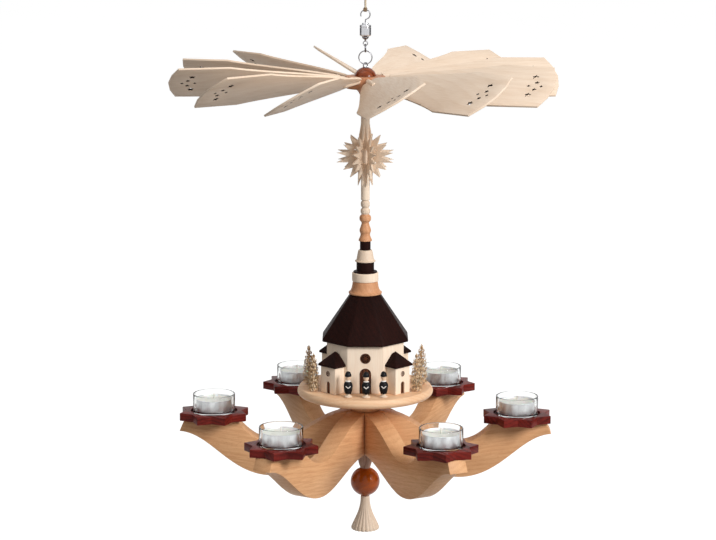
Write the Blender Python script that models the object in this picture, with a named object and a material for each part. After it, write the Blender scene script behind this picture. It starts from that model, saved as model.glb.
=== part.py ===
"""Hanging christmas pyramid: a wooden fan wheel, star spindle, small church on a disc, six curved
arms with tealights and a turned drop, all hung from a wire hook by a swivel and two rings.

Metres, +Z up. The origin is the inner top of the hook's bend, where the twine holds the pyramid,
and the church's front door faces -Y. Heights are worked out downwards from the hook.
"""

import math

import bmesh
import bpy
from mathutils import Matrix, Vector

MM = 0.001
ROUND = 360  # degrees, once round
DOWN = -90  # degrees, straight down

# Main height: the fan's blades above the arms' candle seats; the spindle takes up what it changes
FAN_ABOVE_ARMS = 354.8 * MM

# Clearances
SEAT = 0.3 * MM  # between pieces that rest on each other or are glued

# Twine
TWINE_DIAMETER = 2.4 * MM
TWINE_LENGTH = 46 * MM

# Wire hook
HOOK_WIRE = 1.2 * MM
HOOK_BEND = 4.1 * MM  # inner radius
HOOK_TIP_ANGLE = 204  # degrees round the bend, from +X over the top
HOOK_TURN_ANGLE = -62
HOOK_STEM = 3.4 * MM

# Ball-bearing swivel
SWIVEL_CAP_DIAMETER = 7.0 * MM
SWIVEL_CAP_HEIGHT = 1.5 * MM
SWIVEL_DIAMETER = 12.0 * MM
SWIVEL_HEIGHT = 12.0 * MM
SWIVEL_SHANK = 2.6 * MM
SWIVEL_HEAD = 6.4 * MM
SWIVEL_WALL = 1.8 * MM
SWIVEL_COLLAR_DIAMETER = 7.0 * MM
SWIVEL_COLLAR_HEIGHT = 2.7 * MM
SWIVEL_NECK = 1.7 * MM
SWIVEL_EYE_BORE = 1.7 * MM  # inner radius
SWIVEL_EYE_WIRE = 1.0 * MM

# Small split ring between the swivel and the large ring
LINK_RADIUS = 4.5 * MM  # outer
LINK_WIRE = 0.9 * MM
LINK_TURNS = 2

# Large ring
RING_RADIUS = 6.7 * MM  # to the wire's middle
RING_WIRE = 1.1 * MM

# Screw eye
EYE_BORE = 2.0 * MM  # inner radius
EYE_WIRE = 1.2 * MM
EYE_SHANK = 7.5 * MM
EYE_TURN = 38  # degrees between the eye's plane and the ring's
EYE_SINK = 2.2 * MM  # how deep the loop sits in the cap

# Hub cap and fan hub
CAP_DIAMETER = 22.4 * MM
CAP_HEIGHT = 9.3 * MM
HUB_DIAMETER = 40.6 * MM
HUB_RIM = 12.4 * MM
HUB_LIP = 4.4 * MM  # how far the hollow starts inside the rim
HUB_NECK_DIAMETER = 9.2 * MM
HUB_FLARE = 14.0 * MM
HUB_NECK = 15.6 * MM
HUB_STEMS = 3.9 * MM  # depth of the blade stems' middle below the hub's top

# Fan blades
BLADE_COUNT = 12
BLADE_PITCH = 30.4
BLADE_FIRST = 8.4  # degrees, turn of the first blade from +X
BLADE_TIP = 200.0 * MM
BLADE_TIP_CORNER = 191.5 * MM
BLADE_WIDE_FROM = 140.0 * MM
BLADE_ROOT = 26.0 * MM
BLADE_WIDTH = 68.0 * MM
BLADE_TIP_WIDTH = 65.0 * MM
BLADE_ROOT_WIDTH = 14.0 * MM
BLADE_THICKNESS = 2.0 * MM
STEM_DIAMETER = 5.4 * MM
STEM_END = 58.0 * MM
STEM_PLUG = 6.0 * MM  # how far a stem goes into the hub
# Cut-outs of a blade: distance from the axis, off the blade's middle, size over the points
STAR_CUTS = (
    (176.9 * MM, 14.8 * MM, 6.2 * MM),
    (176.9 * MM, -14.8 * MM, 6.2 * MM),
    (180.8 * MM, 5.7 * MM, 4.4 * MM),
    (180.8 * MM, -5.7 * MM, 4.4 * MM),
)
PIN_CUTS = ((186.5 * MM, 0.0, 3.0 * MM), (173.5 * MM, 0.0, 3.0 * MM))

# Star spindle
SPINDLE_DIAMETER = 9.0 * MM
SPINDLE_BEAD_DIAMETER = 8.6 * MM
SPINDLE_BEAD = 17.0 * MM
SPINDLE_ABOVE_STAR = 39.8 * MM
STAR_FINS = 8
STAR_FIRST = 20  # degrees
STAR_FIN_THICKNESS = 2.0 * MM
STAR_RAYS = ((9, 31.5), (28.5, 27.0), (52, 26.8), (75, 31.0))  # degrees above level, mm
STAR_VALLEYS = ((0, 20.0), (18.5, 20.0), (40, 19.5), (63, 19.5))
STAR_HOLE = 2.4 * MM
STAR_HOLE_OUT = 11.5 * MM
STAR_HOLE_UP = 6.7 * MM

# Turned spire below the star, each as diameter and height from the top down
UPPER_BEADS = ((9.0 * MM, 7.6 * MM), (9.4 * MM, 7.1 * MM), (11.6 * MM, 7.7 * MM))
VASE_DIAMETER = 12.2 * MM
VASE_HEIGHT = 12.7 * MM
FOOT_DIAMETER = 13.9 * MM
FOOT_HEIGHT = 6.9 * MM
UPPER_DRUM = (11.0 * MM, 9.2 * MM)
UPPER_BELL = (14.4 * MM, 21.4 * MM, 12.1 * MM)  # top and bottom diameter, height
LOWER_DRUM = (18.2 * MM, 11.3 * MM)
SPIRE_RING = (27.2 * MM, 9.3 * MM)
LOWER_BELL = (25.6 * MM, 34.6 * MM, 12.9 * MM)

# Church
ROOF_TOP_WIDTH = 31.0 * MM  # across flats
ROOF_EAVE_WIDTH = 88.4 * MM
ROOF_HEIGHT = 47.0 * MM
ROOF_EDGE = 2.4 * MM
WALL_WIDTH = 79.0 * MM  # across the four main faces
WALL_FACE = 36.6 * MM  # width of a main face
WALL_HEIGHT = 49.4 * MM
TURRET_OUT = 43.6 * MM  # from the middle of the church
TURRET_WIDTH = 20.8 * MM
TURRET_HEIGHT = 28.4 * MM
TURRET_ROOF_WIDTH = 25.0 * MM
TURRET_ROOF_EDGE = 1.4 * MM
TURRET_ROOF_LAP = 0.6 * MM  # how far the turret roofs come down over their walls
TURRET_ROOF_HEIGHT = 14.0 * MM
ROSETTE_DIAMETER = 11.0 * MM
ROSETTE_HEIGHT = 36.6 * MM
DOOR_WIDTH = 12.0 * MM
DOOR_HEIGHT = 26.4 * MM
TURRET_WINDOW = 4.2 * MM
TURRET_WINDOW_HEIGHT = 20.7 * MM
TURRET_DOOR_WIDTH = 5.2 * MM
TURRET_DOOR_HEIGHT = 12.6 * MM
RECESS = 1.2 * MM

# Disc with the collar under it
DISC_DIAMETER = 140.8 * MM
DISC_THICKNESS = 9.3 * MM
COLLAR_DIAMETER = 33.0 * MM
COLLAR_HEIGHT = 16.5 * MM

# Figures and trees on the disc
FIGURE_HEIGHT = 27.0 * MM
FIGURE_WIDTH = 9.0 * MM
FIGURE_PLACES = ((-17.5 * MM, -54.0 * MM), (0.8 * MM, -56.0 * MM), (18.6 * MM, -54.0 * MM))
TREE_PLACES = (  # x, y, height, width at the lowest tier
    (-58.5 * MM, 5.0 * MM, 41.0 * MM, 14.0 * MM),
    (-53.0 * MM, -27.0 * MM, 39.5 * MM, 13.0 * MM),
    (58.5 * MM, 5.0 * MM, 42.5 * MM, 14.0 * MM),
    (52.5 * MM, -27.0 * MM, 39.5 * MM, 13.0 * MM),
)
TREE_TIERS = 4
TREE_FRILLS = 4

# Arms
ARM_COUNT = 6
ARM_FIRST = -1.9  # degrees
ARM_THICKNESS = 20.0 * MM
ARM_REACH = 193.2 * MM
ARM_TIP_SLANT = 5.2 * MM
ARM_TIP_HEIGHT = 11.7 * MM
ARM_RISE = 10.4 * MM  # the arms' middle above their candle seats
ARM_DIP_AT = 92.0 * MM
ARM_DIP = 23.0 * MM
ARM_LOBE_AT = 97.0 * MM
ARM_LOBE = 58.7 * MM
ARM_HEART_DEPTH = 33.1 * MM  # bottom of the arms' middle below the seats
ARM_HEART = 17.0 * MM

# Star-shaped candle holders, glasses and tealights
CUP_CIRCLE = 157.7 * MM
HOLDER_TIP = 37.6 * MM
HOLDER_THICKNESS = 8.2 * MM
HOLDER_RECESS = 2.2 * MM
GLASS_DIAMETER = 44.0 * MM
GLASS_PLAY = 2.4 * MM  # radial room of a glass in its recess
GLASS_HEIGHT = 20.0 * MM
GLASS_WALL = 1.5 * MM
GLASS_FLOOR = 2.2 * MM
CUP_DIAMETER = 38.4 * MM
CUP_HEIGHT = 12.6 * MM
CUP_RIM = 0.5 * MM
WAX_LEVEL = 10.6 * MM
WICK_HEIGHT = 7.0 * MM
WICK_DIAMETER = 1.4 * MM

# Drop
CROWN_DIAMETER = 15.2 * MM
CROWN_HEIGHT = 18.6 * MM
CROWN_FOOT_DIAMETER = 9.8 * MM
BALL_DIAMETER = 30.6 * MM
TASSEL_TOP_DIAMETER = 9.8 * MM
TASSEL_DIAMETER = 29.6 * MM
TASSEL_HEIGHT = 35.6 * MM
TASSEL_FLUTES = 12

# Heights worked out from the sizes above
BALUSTER_HEIGHT = sum(height for _, height in UPPER_BEADS) + VASE_HEIGHT + FOOT_HEIGHT + UPPER_DRUM[1]
SPIRE_HEIGHT = UPPER_BELL[2] + LOWER_DRUM[1] + SPIRE_RING[1] + LOWER_BELL[2]
HUB_HEIGHT = HUB_RIM + HUB_FLARE + HUB_NECK
CHURCH_HEIGHT = ROOF_HEIGHT + WALL_HEIGHT + DISC_THICKNESS + COLLAR_HEIGHT
SEATS = 7 * SEAT  # between the fan hub and the arms
ABOVE_STAR = HUB_HEIGHT - HUB_STEMS + SPINDLE_ABOVE_STAR
BELOW_SPINDLE = BALUSTER_HEIGHT + SPIRE_HEIGHT + CHURCH_HEIGHT + ARM_RISE
SPINDLE_BELOW_STAR = FAN_ABOVE_ARMS - ABOVE_STAR - BELOW_SPINDLE - SEATS

# Places worked out from the hook down
HOOK_CENTRE_Z = -HOOK_BEND
HOOK_RING = HOOK_BEND + HOOK_WIRE / 2
HOOK_FOOT_Z = HOOK_CENTRE_Z - HOOK_RING - HOOK_STEM
SWIVEL_TOP_Z = HOOK_FOOT_Z - SEAT
SWIVEL_FOOT_Z = SWIVEL_TOP_Z - SWIVEL_CAP_HEIGHT - SWIVEL_HEIGHT
COLLAR_TOP_Z = SWIVEL_FOOT_Z - SEAT
SWIVEL_EYE_RING = SWIVEL_EYE_BORE + SWIVEL_EYE_WIRE / 2
SWIVEL_EYE_Z = COLLAR_TOP_Z - SWIVEL_COLLAR_HEIGHT - SWIVEL_NECK - SWIVEL_EYE_BORE - SWIVEL_EYE_WIRE
LINK_HALF = LINK_TURNS * LINK_WIRE / 2
LINK_BEARING = math.sqrt((SWIVEL_EYE_BORE - SEAT) ** 2 - LINK_HALF**2)  # its edges clear the eye's curve
LINK_Z = SWIVEL_EYE_Z - LINK_BEARING + LINK_WIRE - LINK_RADIUS
RING_Z = LINK_Z - LINK_RADIUS + LINK_WIRE + SEAT + RING_WIRE / 2 - RING_RADIUS
EYE_Z = RING_Z - RING_RADIUS + RING_WIRE / 2 + SEAT - EYE_BORE
EYE_FOOT_Z = EYE_Z - EYE_BORE - EYE_WIRE
CAP_SOCKET_Z = EYE_FOOT_Z - SEAT
CAP_TOP_Z = CAP_SOCKET_Z + EYE_SINK
CAP_FOOT_Z = CAP_TOP_Z - CAP_HEIGHT
HUB_TOP_Z = CAP_FOOT_Z - SEAT
FAN_Z = HUB_TOP_Z - HUB_STEMS
HUB_FOOT_Z = HUB_TOP_Z - HUB_HEIGHT
SPINDLE_TOP_Z = HUB_FOOT_Z - SEAT
STAR_Z = SPINDLE_TOP_Z - SPINDLE_ABOVE_STAR
SPINDLE_FOOT_Z = STAR_Z - SPINDLE_BELOW_STAR
BALUSTER_TOP_Z = SPINDLE_FOOT_Z - SEAT
SPIRE_TOP_Z = BALUSTER_TOP_Z - BALUSTER_HEIGHT - SEAT
ROOF_TOP_Z = SPIRE_TOP_Z - SPIRE_HEIGHT - SEAT
ROOF_FOOT_Z = ROOF_TOP_Z - ROOF_HEIGHT
WALL_TOP_Z = ROOF_FOOT_Z - SEAT
WALL_FOOT_Z = WALL_TOP_Z - WALL_HEIGHT
DISC_TOP_Z = WALL_FOOT_Z - SEAT
DISC_FOOT_Z = DISC_TOP_Z - DISC_THICKNESS
HEART_TOP_Z = DISC_FOOT_Z - COLLAR_HEIGHT - SEAT
ARM_SEAT_Z = HEART_TOP_Z - ARM_RISE
HOLDER_FOOT_Z = ARM_SEAT_Z + SEAT
GLASS_FOOT_Z = HOLDER_FOOT_Z + HOLDER_THICKNESS - HOLDER_RECESS + SEAT
CUP_FOOT_Z = GLASS_FOOT_Z + GLASS_FLOOR + SEAT
CROWN_TOP_Z = ARM_SEAT_Z - ARM_HEART_DEPTH - SEAT
BALL_DROP = math.sqrt(BALL_DIAMETER**2 - CROWN_FOOT_DIAMETER**2) / 2
BALL_Z = CROWN_TOP_Z - CROWN_HEIGHT - BALL_DROP
TASSEL_TOP_Z = BALL_Z - BALL_DIAMETER / 2 - SEAT

# Colour, roughness, metallic
FINISHES = {
    "beech": ((0.66, 0.45, 0.27), 0.5, 0.0),
    "pale_beech": ((0.76, 0.60, 0.42), 0.5, 0.0),
    "dark_stain": ((0.16, 0.045, 0.02), 0.3, 0.0),
    "roof_stain": ((0.20, 0.08, 0.035), 0.4, 0.0),
    "red_stain": ((0.17, 0.014, 0.012), 0.35, 0.0),
    "amber_lacquer": ((0.32, 0.07, 0.012), 0.12, 0.0),
    "black_lacquer": ((0.02, 0.02, 0.02), 0.3, 0.0),
    "shaving": ((0.80, 0.68, 0.48), 0.6, 0.0),
    "steel": ((0.62, 0.62, 0.63), 0.25, 1.0),
    "aluminium": ((0.80, 0.80, 0.81), 0.3, 1.0),
    "glass": ((0.92, 0.94, 0.93), 0.02, 0.0),
    "twine": ((0.66, 0.58, 0.46), 0.9, 0.0),
}


def clear_scene():
    for obj in list(bpy.data.objects):
        bpy.data.objects.remove(obj, do_unlink=True)


def material(finish):
    """The Principled material of one finish, made at its first use."""
    made = bpy.data.materials.get(finish)
    if made:
        return made
    colour, roughness, metallic = FINISHES[finish]
    made = bpy.data.materials.new(finish)
    made.use_nodes = True
    shader = made.node_tree.nodes["Principled BSDF"]
    shader.inputs["Base Color"].default_value = (*colour, 1.0)
    shader.inputs["Roughness"].default_value = roughness
    shader.inputs["Metallic"].default_value = metallic
    if finish == "glass":
        shader.inputs["Transmission Weight"].default_value = 1.0
    return made


def piece(name, mesh, finish, place=Matrix.Identity(4), parent=None, smooth=35):
    """A named part made of mesh, set at place under parent, smooth below an angle in degrees."""
    if smooth and not mesh.materials:
        mesh.shade_smooth()
        mesh.set_sharp_from_angle(angle=math.radians(smooth))
    if not mesh.materials:
        mesh.materials.append(material(finish))
    obj = bpy.data.objects.new(name, mesh)
    bpy.context.scene.collection.objects.link(obj)
    obj.parent = parent
    obj.matrix_local = place
    return obj


def carrier(name, z, parent=None):
    """An empty on the vertical axis that carries the parts of one height."""
    obj = bpy.data.objects.new(name, None)
    bpy.context.scene.collection.objects.link(obj)
    obj.parent = parent
    obj.location = (0, 0, z)
    return obj


def mesh_of(name, form):
    mesh = bpy.data.meshes.new(name)
    form.to_mesh(mesh)
    form.free()
    return mesh


def turned(name, profile, segments, closed=False):
    """A lathe-turned mesh about Z. The profile is (radius, z) points down its outer side."""
    form = bmesh.new()
    verts = [form.verts.new((radius, 0, z)) for radius, z in profile]
    ends = verts + verts[:1] if closed else verts
    edges = [form.edges.new(pair) for pair in zip(ends, ends[1:])]
    bmesh.ops.spin(
        form, geom=verts + edges, axis=(0, 0, 1), cent=(0, 0, 0), angle=math.tau, steps=segments, use_merge=True
    )
    bmesh.ops.remove_doubles(form, verts=form.verts, dist=1e-7)
    bmesh.ops.recalc_face_normals(form, faces=form.faces)
    return mesh_of(name, form)


def fluted(name, rings, flutes, depth):
    """A closed form of stacked rings, each (radius, z), whose radius waves flutes times round."""
    form = bmesh.new()
    sides = 2 * flutes
    loops = []
    for radius, z in rings:
        loop = []
        for i in range(sides):
            angle = math.tau * i / sides
            reach = radius * (1 - depth * (i % 2))
            loop.append(form.verts.new((reach * math.cos(angle), reach * math.sin(angle), z)))
        loops.append(loop)
    for upper, lower in zip(loops, loops[1:]):
        for i in range(sides):
            j = (i + 1) % sides
            form.faces.new((upper[i], upper[j], lower[j], lower[i]))
    form.faces.new(loops[0])
    form.faces.new(loops[-1])
    bmesh.ops.recalc_face_normals(form, faces=form.faces)
    return mesh_of(name, form)


def plate(name, outline, thickness, holes=()):
    """A flat plate in XY, its middle at z 0, with holes right through."""
    form = bmesh.new()
    for loop in (outline, *holes):
        verts = [form.verts.new((x, y, -thickness / 2)) for x, y in loop]
        for pair in zip(verts, verts[1:] + verts[:1]):
            form.edges.new(pair)
    bmesh.ops.triangle_fill(form, use_beauty=True, edges=form.edges[:])
    made = bmesh.ops.extrude_face_region(form, geom=form.faces[:])["geom"]
    top = [v for v in made if isinstance(v, bmesh.types.BMVert)]
    bmesh.ops.translate(form, verts=top, vec=(0, 0, thickness))
    bmesh.ops.recalc_face_normals(form, faces=form.faces)
    return mesh_of(name, form)


def wire(name, points, diameter, closed=False, resolution=1):
    """A round wire or cord along points."""
    curve = bpy.data.curves.new(name, "CURVE")
    curve.dimensions = "3D"
    curve.bevel_depth = diameter / 2
    curve.bevel_resolution = resolution
    curve.use_fill_caps = True
    spline = curve.splines.new("POLY")
    spline.points.add(len(points) - 1)
    spline.use_cyclic_u = closed
    for target, point in zip(spline.points, points):
        target.co = (*point, 1.0)
    obj = bpy.data.objects.new(name, curve)
    bpy.context.scene.collection.objects.link(obj)
    return taken(name, obj)


def taken(name, obj):
    """The evaluated mesh of a helper object, which is then removed."""
    bpy.context.view_layer.update()
    graph = bpy.context.evaluated_depsgraph_get()
    mesh = bpy.data.meshes.new_from_object(obj.evaluated_get(graph))
    mesh.name = name
    bpy.data.objects.remove(obj, do_unlink=True)
    return mesh


def helper(mesh, place):
    """A passing object for a Boolean, with its place worked into its own mesh."""
    placed = mesh.copy()
    placed.transform(place)
    obj = bpy.data.objects.new(mesh.name + "_helper", placed)
    bpy.context.scene.collection.objects.link(obj)
    return obj


def combined(name, base, others, operation):
    """One mesh from base and others, each a (mesh, place), by Booleans."""
    body = helper(*base)
    tools = [helper(*other) for other in others]
    for tool in tools:
        modifier = body.modifiers.new(operation.lower(), "BOOLEAN")
        modifier.operation = operation
        modifier.object = tool
    mesh = taken(name, body)
    for tool in tools:
        bpy.data.objects.remove(tool, do_unlink=True)
    return mesh


def arc(radius, start, end, count, centre=(0.0, 0.0)):
    """Points on a circle from start to end degrees."""
    step = math.radians(end - start) / (count - 1)
    angles = [math.radians(start) + step * i for i in range(count)]
    return [(centre[0] + radius * math.cos(a), centre[1] + radius * math.sin(a)) for a in angles]


def bezier(start, pull, push, end, count):
    """Points of a cubic curve, with both of its ends."""
    points = []
    for i in range(count):
        t = i / (count - 1)
        weights = ((1 - t) ** 3, 3 * t * (1 - t) ** 2, 3 * t * t * (1 - t), t**3)
        x = sum(w * p[0] for w, p in zip(weights, (start, pull, push, end)))
        y = sum(w * p[1] for w, p in zip(weights, (start, pull, push, end)))
        points.append((x, y))
    return points


def star_outline(size, points, waist, centre=(0.0, 0.0), turn=0.0):
    """A star's corners, size over its points, with its inner corners at waist times its radius."""
    corners = []
    for i in range(2 * points):
        angle = math.radians(turn) + math.pi * i / points
        radius = size / 2 * (waist if i % 2 else 1)
        corners.append((centre[0] + radius * math.cos(angle), centre[1] + radius * math.sin(angle)))
    return corners


def turn_z(degrees):
    return Matrix.Rotation(math.radians(degrees), 4, "Z")


def upright(flat_points, z=0.0):
    """Points of a drawing in XZ as points in space."""
    return [(x, 0.0, z + height) for x, height in flat_points]


def make_hanger():
    top = HOOK_WIRE + SEAT
    count = 9
    points = [(0, 0, top + TWINE_LENGTH * i / (count - 1)) for i in range(count)]
    piece("twine", wire("twine", points, TWINE_DIAMETER, resolution=2), "twine")

    bend = arc(HOOK_RING, HOOK_TIP_ANGLE, HOOK_TURN_ANGLE, 15, (0, HOOK_CENTRE_Z))
    leave = bend[-1]
    run = HOOK_RING * 0.55
    swing = bezier(leave, (leave[0] - run, leave[1] - run * 0.35), (0, HOOK_FOOT_Z + run), (0, HOOK_FOOT_Z), 6)
    piece("wire_hook", wire("wire_hook", upright(bend + swing[1:]), HOOK_WIRE), "steel")

    cap = SWIVEL_CAP_DIAMETER / 2
    barrel = SWIVEL_DIAMETER / 2
    chamfer = 0.7 * MM
    shoulder_z = SWIVEL_TOP_Z - SWIVEL_CAP_HEIGHT
    chamber_z = shoulder_z - SWIVEL_WALL
    floor_z = SWIVEL_FOOT_Z + SWIVEL_WALL
    chamber = barrel - SWIVEL_WALL
    mouth = SWIVEL_SHANK / 2 + SEAT
    profile = [
        (0, SWIVEL_TOP_Z),
        (cap - chamfer, SWIVEL_TOP_Z),
        (cap, SWIVEL_TOP_Z - chamfer),
        (cap, shoulder_z),
        (barrel - chamfer, shoulder_z),
        (barrel, shoulder_z - chamfer),
        (barrel, SWIVEL_FOOT_Z + chamfer),
        (barrel - chamfer, SWIVEL_FOOT_Z),
        (mouth, SWIVEL_FOOT_Z),
        (mouth, floor_z),
        (chamber, floor_z),
        (chamber, chamber_z),
        (0, chamber_z),
    ]
    piece("swivel_barrel", turned("swivel_barrel", profile, 14), "steel")


def make_swivel_eye(parent):
    head = SWIVEL_HEAD / 2
    shank = SWIVEL_SHANK / 2
    collar = SWIVEL_COLLAR_DIAMETER / 2
    head_foot = SWIVEL_FOOT_Z + SWIVEL_WALL + SEAT
    collar_foot = COLLAR_TOP_Z - SWIVEL_COLLAR_HEIGHT
    neck_foot = SWIVEL_EYE_Z + SWIVEL_EYE_BORE + SWIVEL_EYE_WIRE / 2
    profile = [
        (0, head_foot + SWIVEL_WALL),
        (head, head_foot + SWIVEL_WALL),
        (head, head_foot),
        (shank, head_foot),
        (shank, COLLAR_TOP_Z),
        (collar, COLLAR_TOP_Z),
        (collar, COLLAR_TOP_Z - SWIVEL_COLLAR_HEIGHT * 0.4),
        (collar * 0.7, collar_foot),
        (shank * 0.8, collar_foot),
        (shank * 0.7, neck_foot),
        (0, neck_foot),
    ]
    body = turned("swivel_eye_body", profile, 10)
    ring = arc(SWIVEL_EYE_RING, 0, ROUND, 15)[:-1]
    loop = wire("swivel_eye_loop", upright(ring, SWIVEL_EYE_Z), SWIVEL_EYE_WIRE, closed=True)
    still = Matrix.Identity(4)
    mesh = combined("swivel_eye", (body, still), [(loop, still)], "UNION")
    place = Matrix.Translation((0, 0, -parent.location.z))
    piece("swivel_eye", mesh, "steel", place, parent)


def make_rings():
    inner = LINK_RADIUS - LINK_WIRE
    corner = 0.3 * LINK_WIRE
    flat = LINK_HALF - corner
    section = [
        (LINK_RADIUS, flat),
        (LINK_RADIUS, -flat),
        (LINK_RADIUS - corner, -LINK_HALF),
        (inner + corner, -LINK_HALF),
        (inner, -flat),
        (inner, flat),
        (inner + corner, LINK_HALF),
        (LINK_RADIUS - corner, LINK_HALF),
    ]
    pivot = carrier("link_pivot", SWIVEL_EYE_Z - SWIVEL_EYE_RING)
    lay = Matrix.Translation((0, 0, LINK_Z - pivot.location.z)) @ Matrix.Rotation(math.pi / 2, 4, "Y")
    piece("link_ring", turned("link_ring", section, 16, closed=True), "steel", lay, pivot)

    pivot = carrier("ring_pivot", LINK_Z - LINK_RADIUS + LINK_WIRE / 2)
    circle = arc(RING_RADIUS, 0, ROUND, 21)[:-1]
    mesh = wire("hanging_ring", upright(circle), RING_WIRE, closed=True)
    piece("hanging_ring", mesh, "steel", Matrix.Translation((0, 0, RING_Z - pivot.location.z)), pivot)


def make_screw_eye(parent):
    ring = EYE_BORE + EYE_WIRE / 2
    open_gap = math.degrees((EYE_WIRE + SEAT) / ring)
    loop = arc(ring, DOWN - open_gap, DOWN - ROUND, 16)[:-1] + [(0, -ring)]
    shank = [(0, -ring - EYE_SHANK * share) for share in (0.35, 1.0)]
    flat = upright(loop + shank, EYE_Z - parent.location.z)
    piece("screw_eye", wire("screw_eye", flat, EYE_WIRE), "steel", turn_z(EYE_TURN), parent)


def make_hub_cap(parent):
    radius = CAP_DIAMETER / 2
    ball = (radius**2 + CAP_HEIGHT**2) / (2 * CAP_HEIGHT)
    centre_z = CAP_TOP_Z - ball
    pocket = EYE_BORE + EYE_WIRE + SEAT
    start = math.degrees(math.acos(pocket / ball))
    end = math.degrees(math.asin((CAP_FOOT_Z - centre_z) / ball))
    dome = arc(ball, start, end, 6, (0, centre_z))
    bore = EYE_WIRE / 2 + SEAT
    profile = [(bore, CAP_SOCKET_Z), (pocket, CAP_SOCKET_Z), *dome, (bore, CAP_FOOT_Z)]
    mesh = turned("hub_cap", profile, 16, closed=True)
    piece("hub_cap", mesh, "dark_stain", Matrix.Translation((0, 0, -parent.location.z)), parent)


def make_fan_hub(parent):
    rim = HUB_DIAMETER / 2
    neck = HUB_NECK_DIAMETER / 2
    rim_foot = HUB_TOP_Z - HUB_RIM
    flare_foot = rim_foot - HUB_FLARE
    edge = 0.8 * MM
    lip = rim - HUB_LIP
    hollow = bezier((lip, rim_foot), (neck * 1.7, rim_foot), (neck, rim_foot - HUB_FLARE * 0.4), (neck, flare_foot), 6)
    profile = [(0, HUB_TOP_Z), (rim - edge, HUB_TOP_Z), (rim, HUB_TOP_Z - edge), (rim, rim_foot + edge)]
    profile += [*hollow, (neck, HUB_FOOT_Z), (0, HUB_FOOT_Z)]
    body = turned("fan_hub_body", profile, 2 * BLADE_COUNT)
    # The sockets that the blade stems plug into, open at the rim
    socket = STEM_DIAMETER / 2 + SEAT
    depth = STEM_PLUG + SEAT
    drill = turned("socket_drill", [(0, 2 * depth), (socket, 2 * depth), (socket, 0), (0, 0)], 8)
    drills = []
    for i in range(BLADE_COUNT):
        aim = turn_z(BLADE_FIRST + i * ROUND / BLADE_COUNT) @ Matrix.Translation((rim - depth, 0, FAN_Z))
        drills.append((drill, aim @ Matrix.Rotation(math.pi / 2, 4, "Y")))
    mesh = combined("fan_hub", (body, turn_z(BLADE_FIRST)), drills, "DIFFERENCE")
    piece("fan_hub", mesh, "pale_beech", Matrix.Translation((0, 0, -parent.location.z)), parent)


def blade_mesh():
    """One blade along +X with its upper face up, its star cut-outs and its round stem."""
    half = BLADE_WIDTH / 2
    grow = BLADE_WIDE_FROM - BLADE_ROOT
    flank = bezier(
        (BLADE_ROOT, BLADE_ROOT_WIDTH / 2),
        (BLADE_ROOT + grow * 0.3, half * 0.56),
        (BLADE_ROOT + grow * 0.7, half * 0.65),
        (BLADE_WIDE_FROM, half),
        5,
    )
    corner = (BLADE_TIP_CORNER, BLADE_TIP_WIDTH / 2)
    shoulder = (BLADE_TIP - (BLADE_TIP - BLADE_TIP_CORNER) * 0.28, corner[1] * 0.5)
    side = [*flank, corner, shoulder]
    outline = side + [(BLADE_TIP, 0.0)] + [(x, -y) for x, y in reversed(side)]
    cuts = [star_outline(size, 4, 0.45, (out, off)) for out, off, size in STAR_CUTS]
    cuts += [arc(size / 2, 0, 270, 4, (out, off)) for out, off, size in PIN_CUTS]
    leaf = plate("blade_leaf", outline, BLADE_THICKNESS, cuts)
    radius = STEM_DIAMETER / 2
    start = HUB_DIAMETER / 2 - STEM_PLUG
    length = STEM_END - start
    round_end = radius * 0.6
    profile = [(0, length), (radius * 0.6, length), (radius, length - round_end), (radius, 0), (0, 0)]
    stem = turned("blade_stem", profile, 8)
    lay = Matrix.Translation((start, 0, 0)) @ Matrix.Rotation(math.pi / 2, 4, "Y")
    lay = lay @ Matrix.Rotation(math.pi / 8, 4, "Z")
    return combined("blade", (leaf, Matrix.Identity(4)), [(stem, lay)], "UNION")


def make_blades(parent):
    mesh = blade_mesh()
    for i in range(BLADE_COUNT):
        place = turn_z(BLADE_FIRST + i * ROUND / BLADE_COUNT)
        place = Matrix.Translation((0, 0, FAN_Z - parent.location.z)) @ place
        place = place @ Matrix.Rotation(math.radians(BLADE_PITCH), 4, "X")
        piece(f"blade_{i + 1:02d}", mesh, "pale_beech", place, parent)


def star_fin():
    """Half of one star plate, standing in XZ from the spindle outwards."""
    upper = []
    for ray, valley in zip(STAR_RAYS, STAR_VALLEYS):
        for degrees, reach in (valley, ray):
            angle = math.radians(degrees)
            upper.append((reach * MM * math.cos(angle), reach * MM * math.sin(angle)))
    inside = SPINDLE_DIAMETER * 0.22
    upper.append((SPINDLE_DIAMETER * 0.44, STAR_RAYS[-1][1] * MM * 0.66))
    upper.append((inside, STAR_RAYS[-1][1] * MM * 0.62))
    outline = upper + [(x, -z) for x, z in reversed(upper[1:])]
    holes = []
    for up in (STAR_HOLE_UP, -STAR_HOLE_UP):
        holes.append(arc(STAR_HOLE / 2, 0, 270, 4, (STAR_HOLE_OUT, up)))
    return plate("star_fin", outline, STAR_FIN_THICKNESS, holes)


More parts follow.
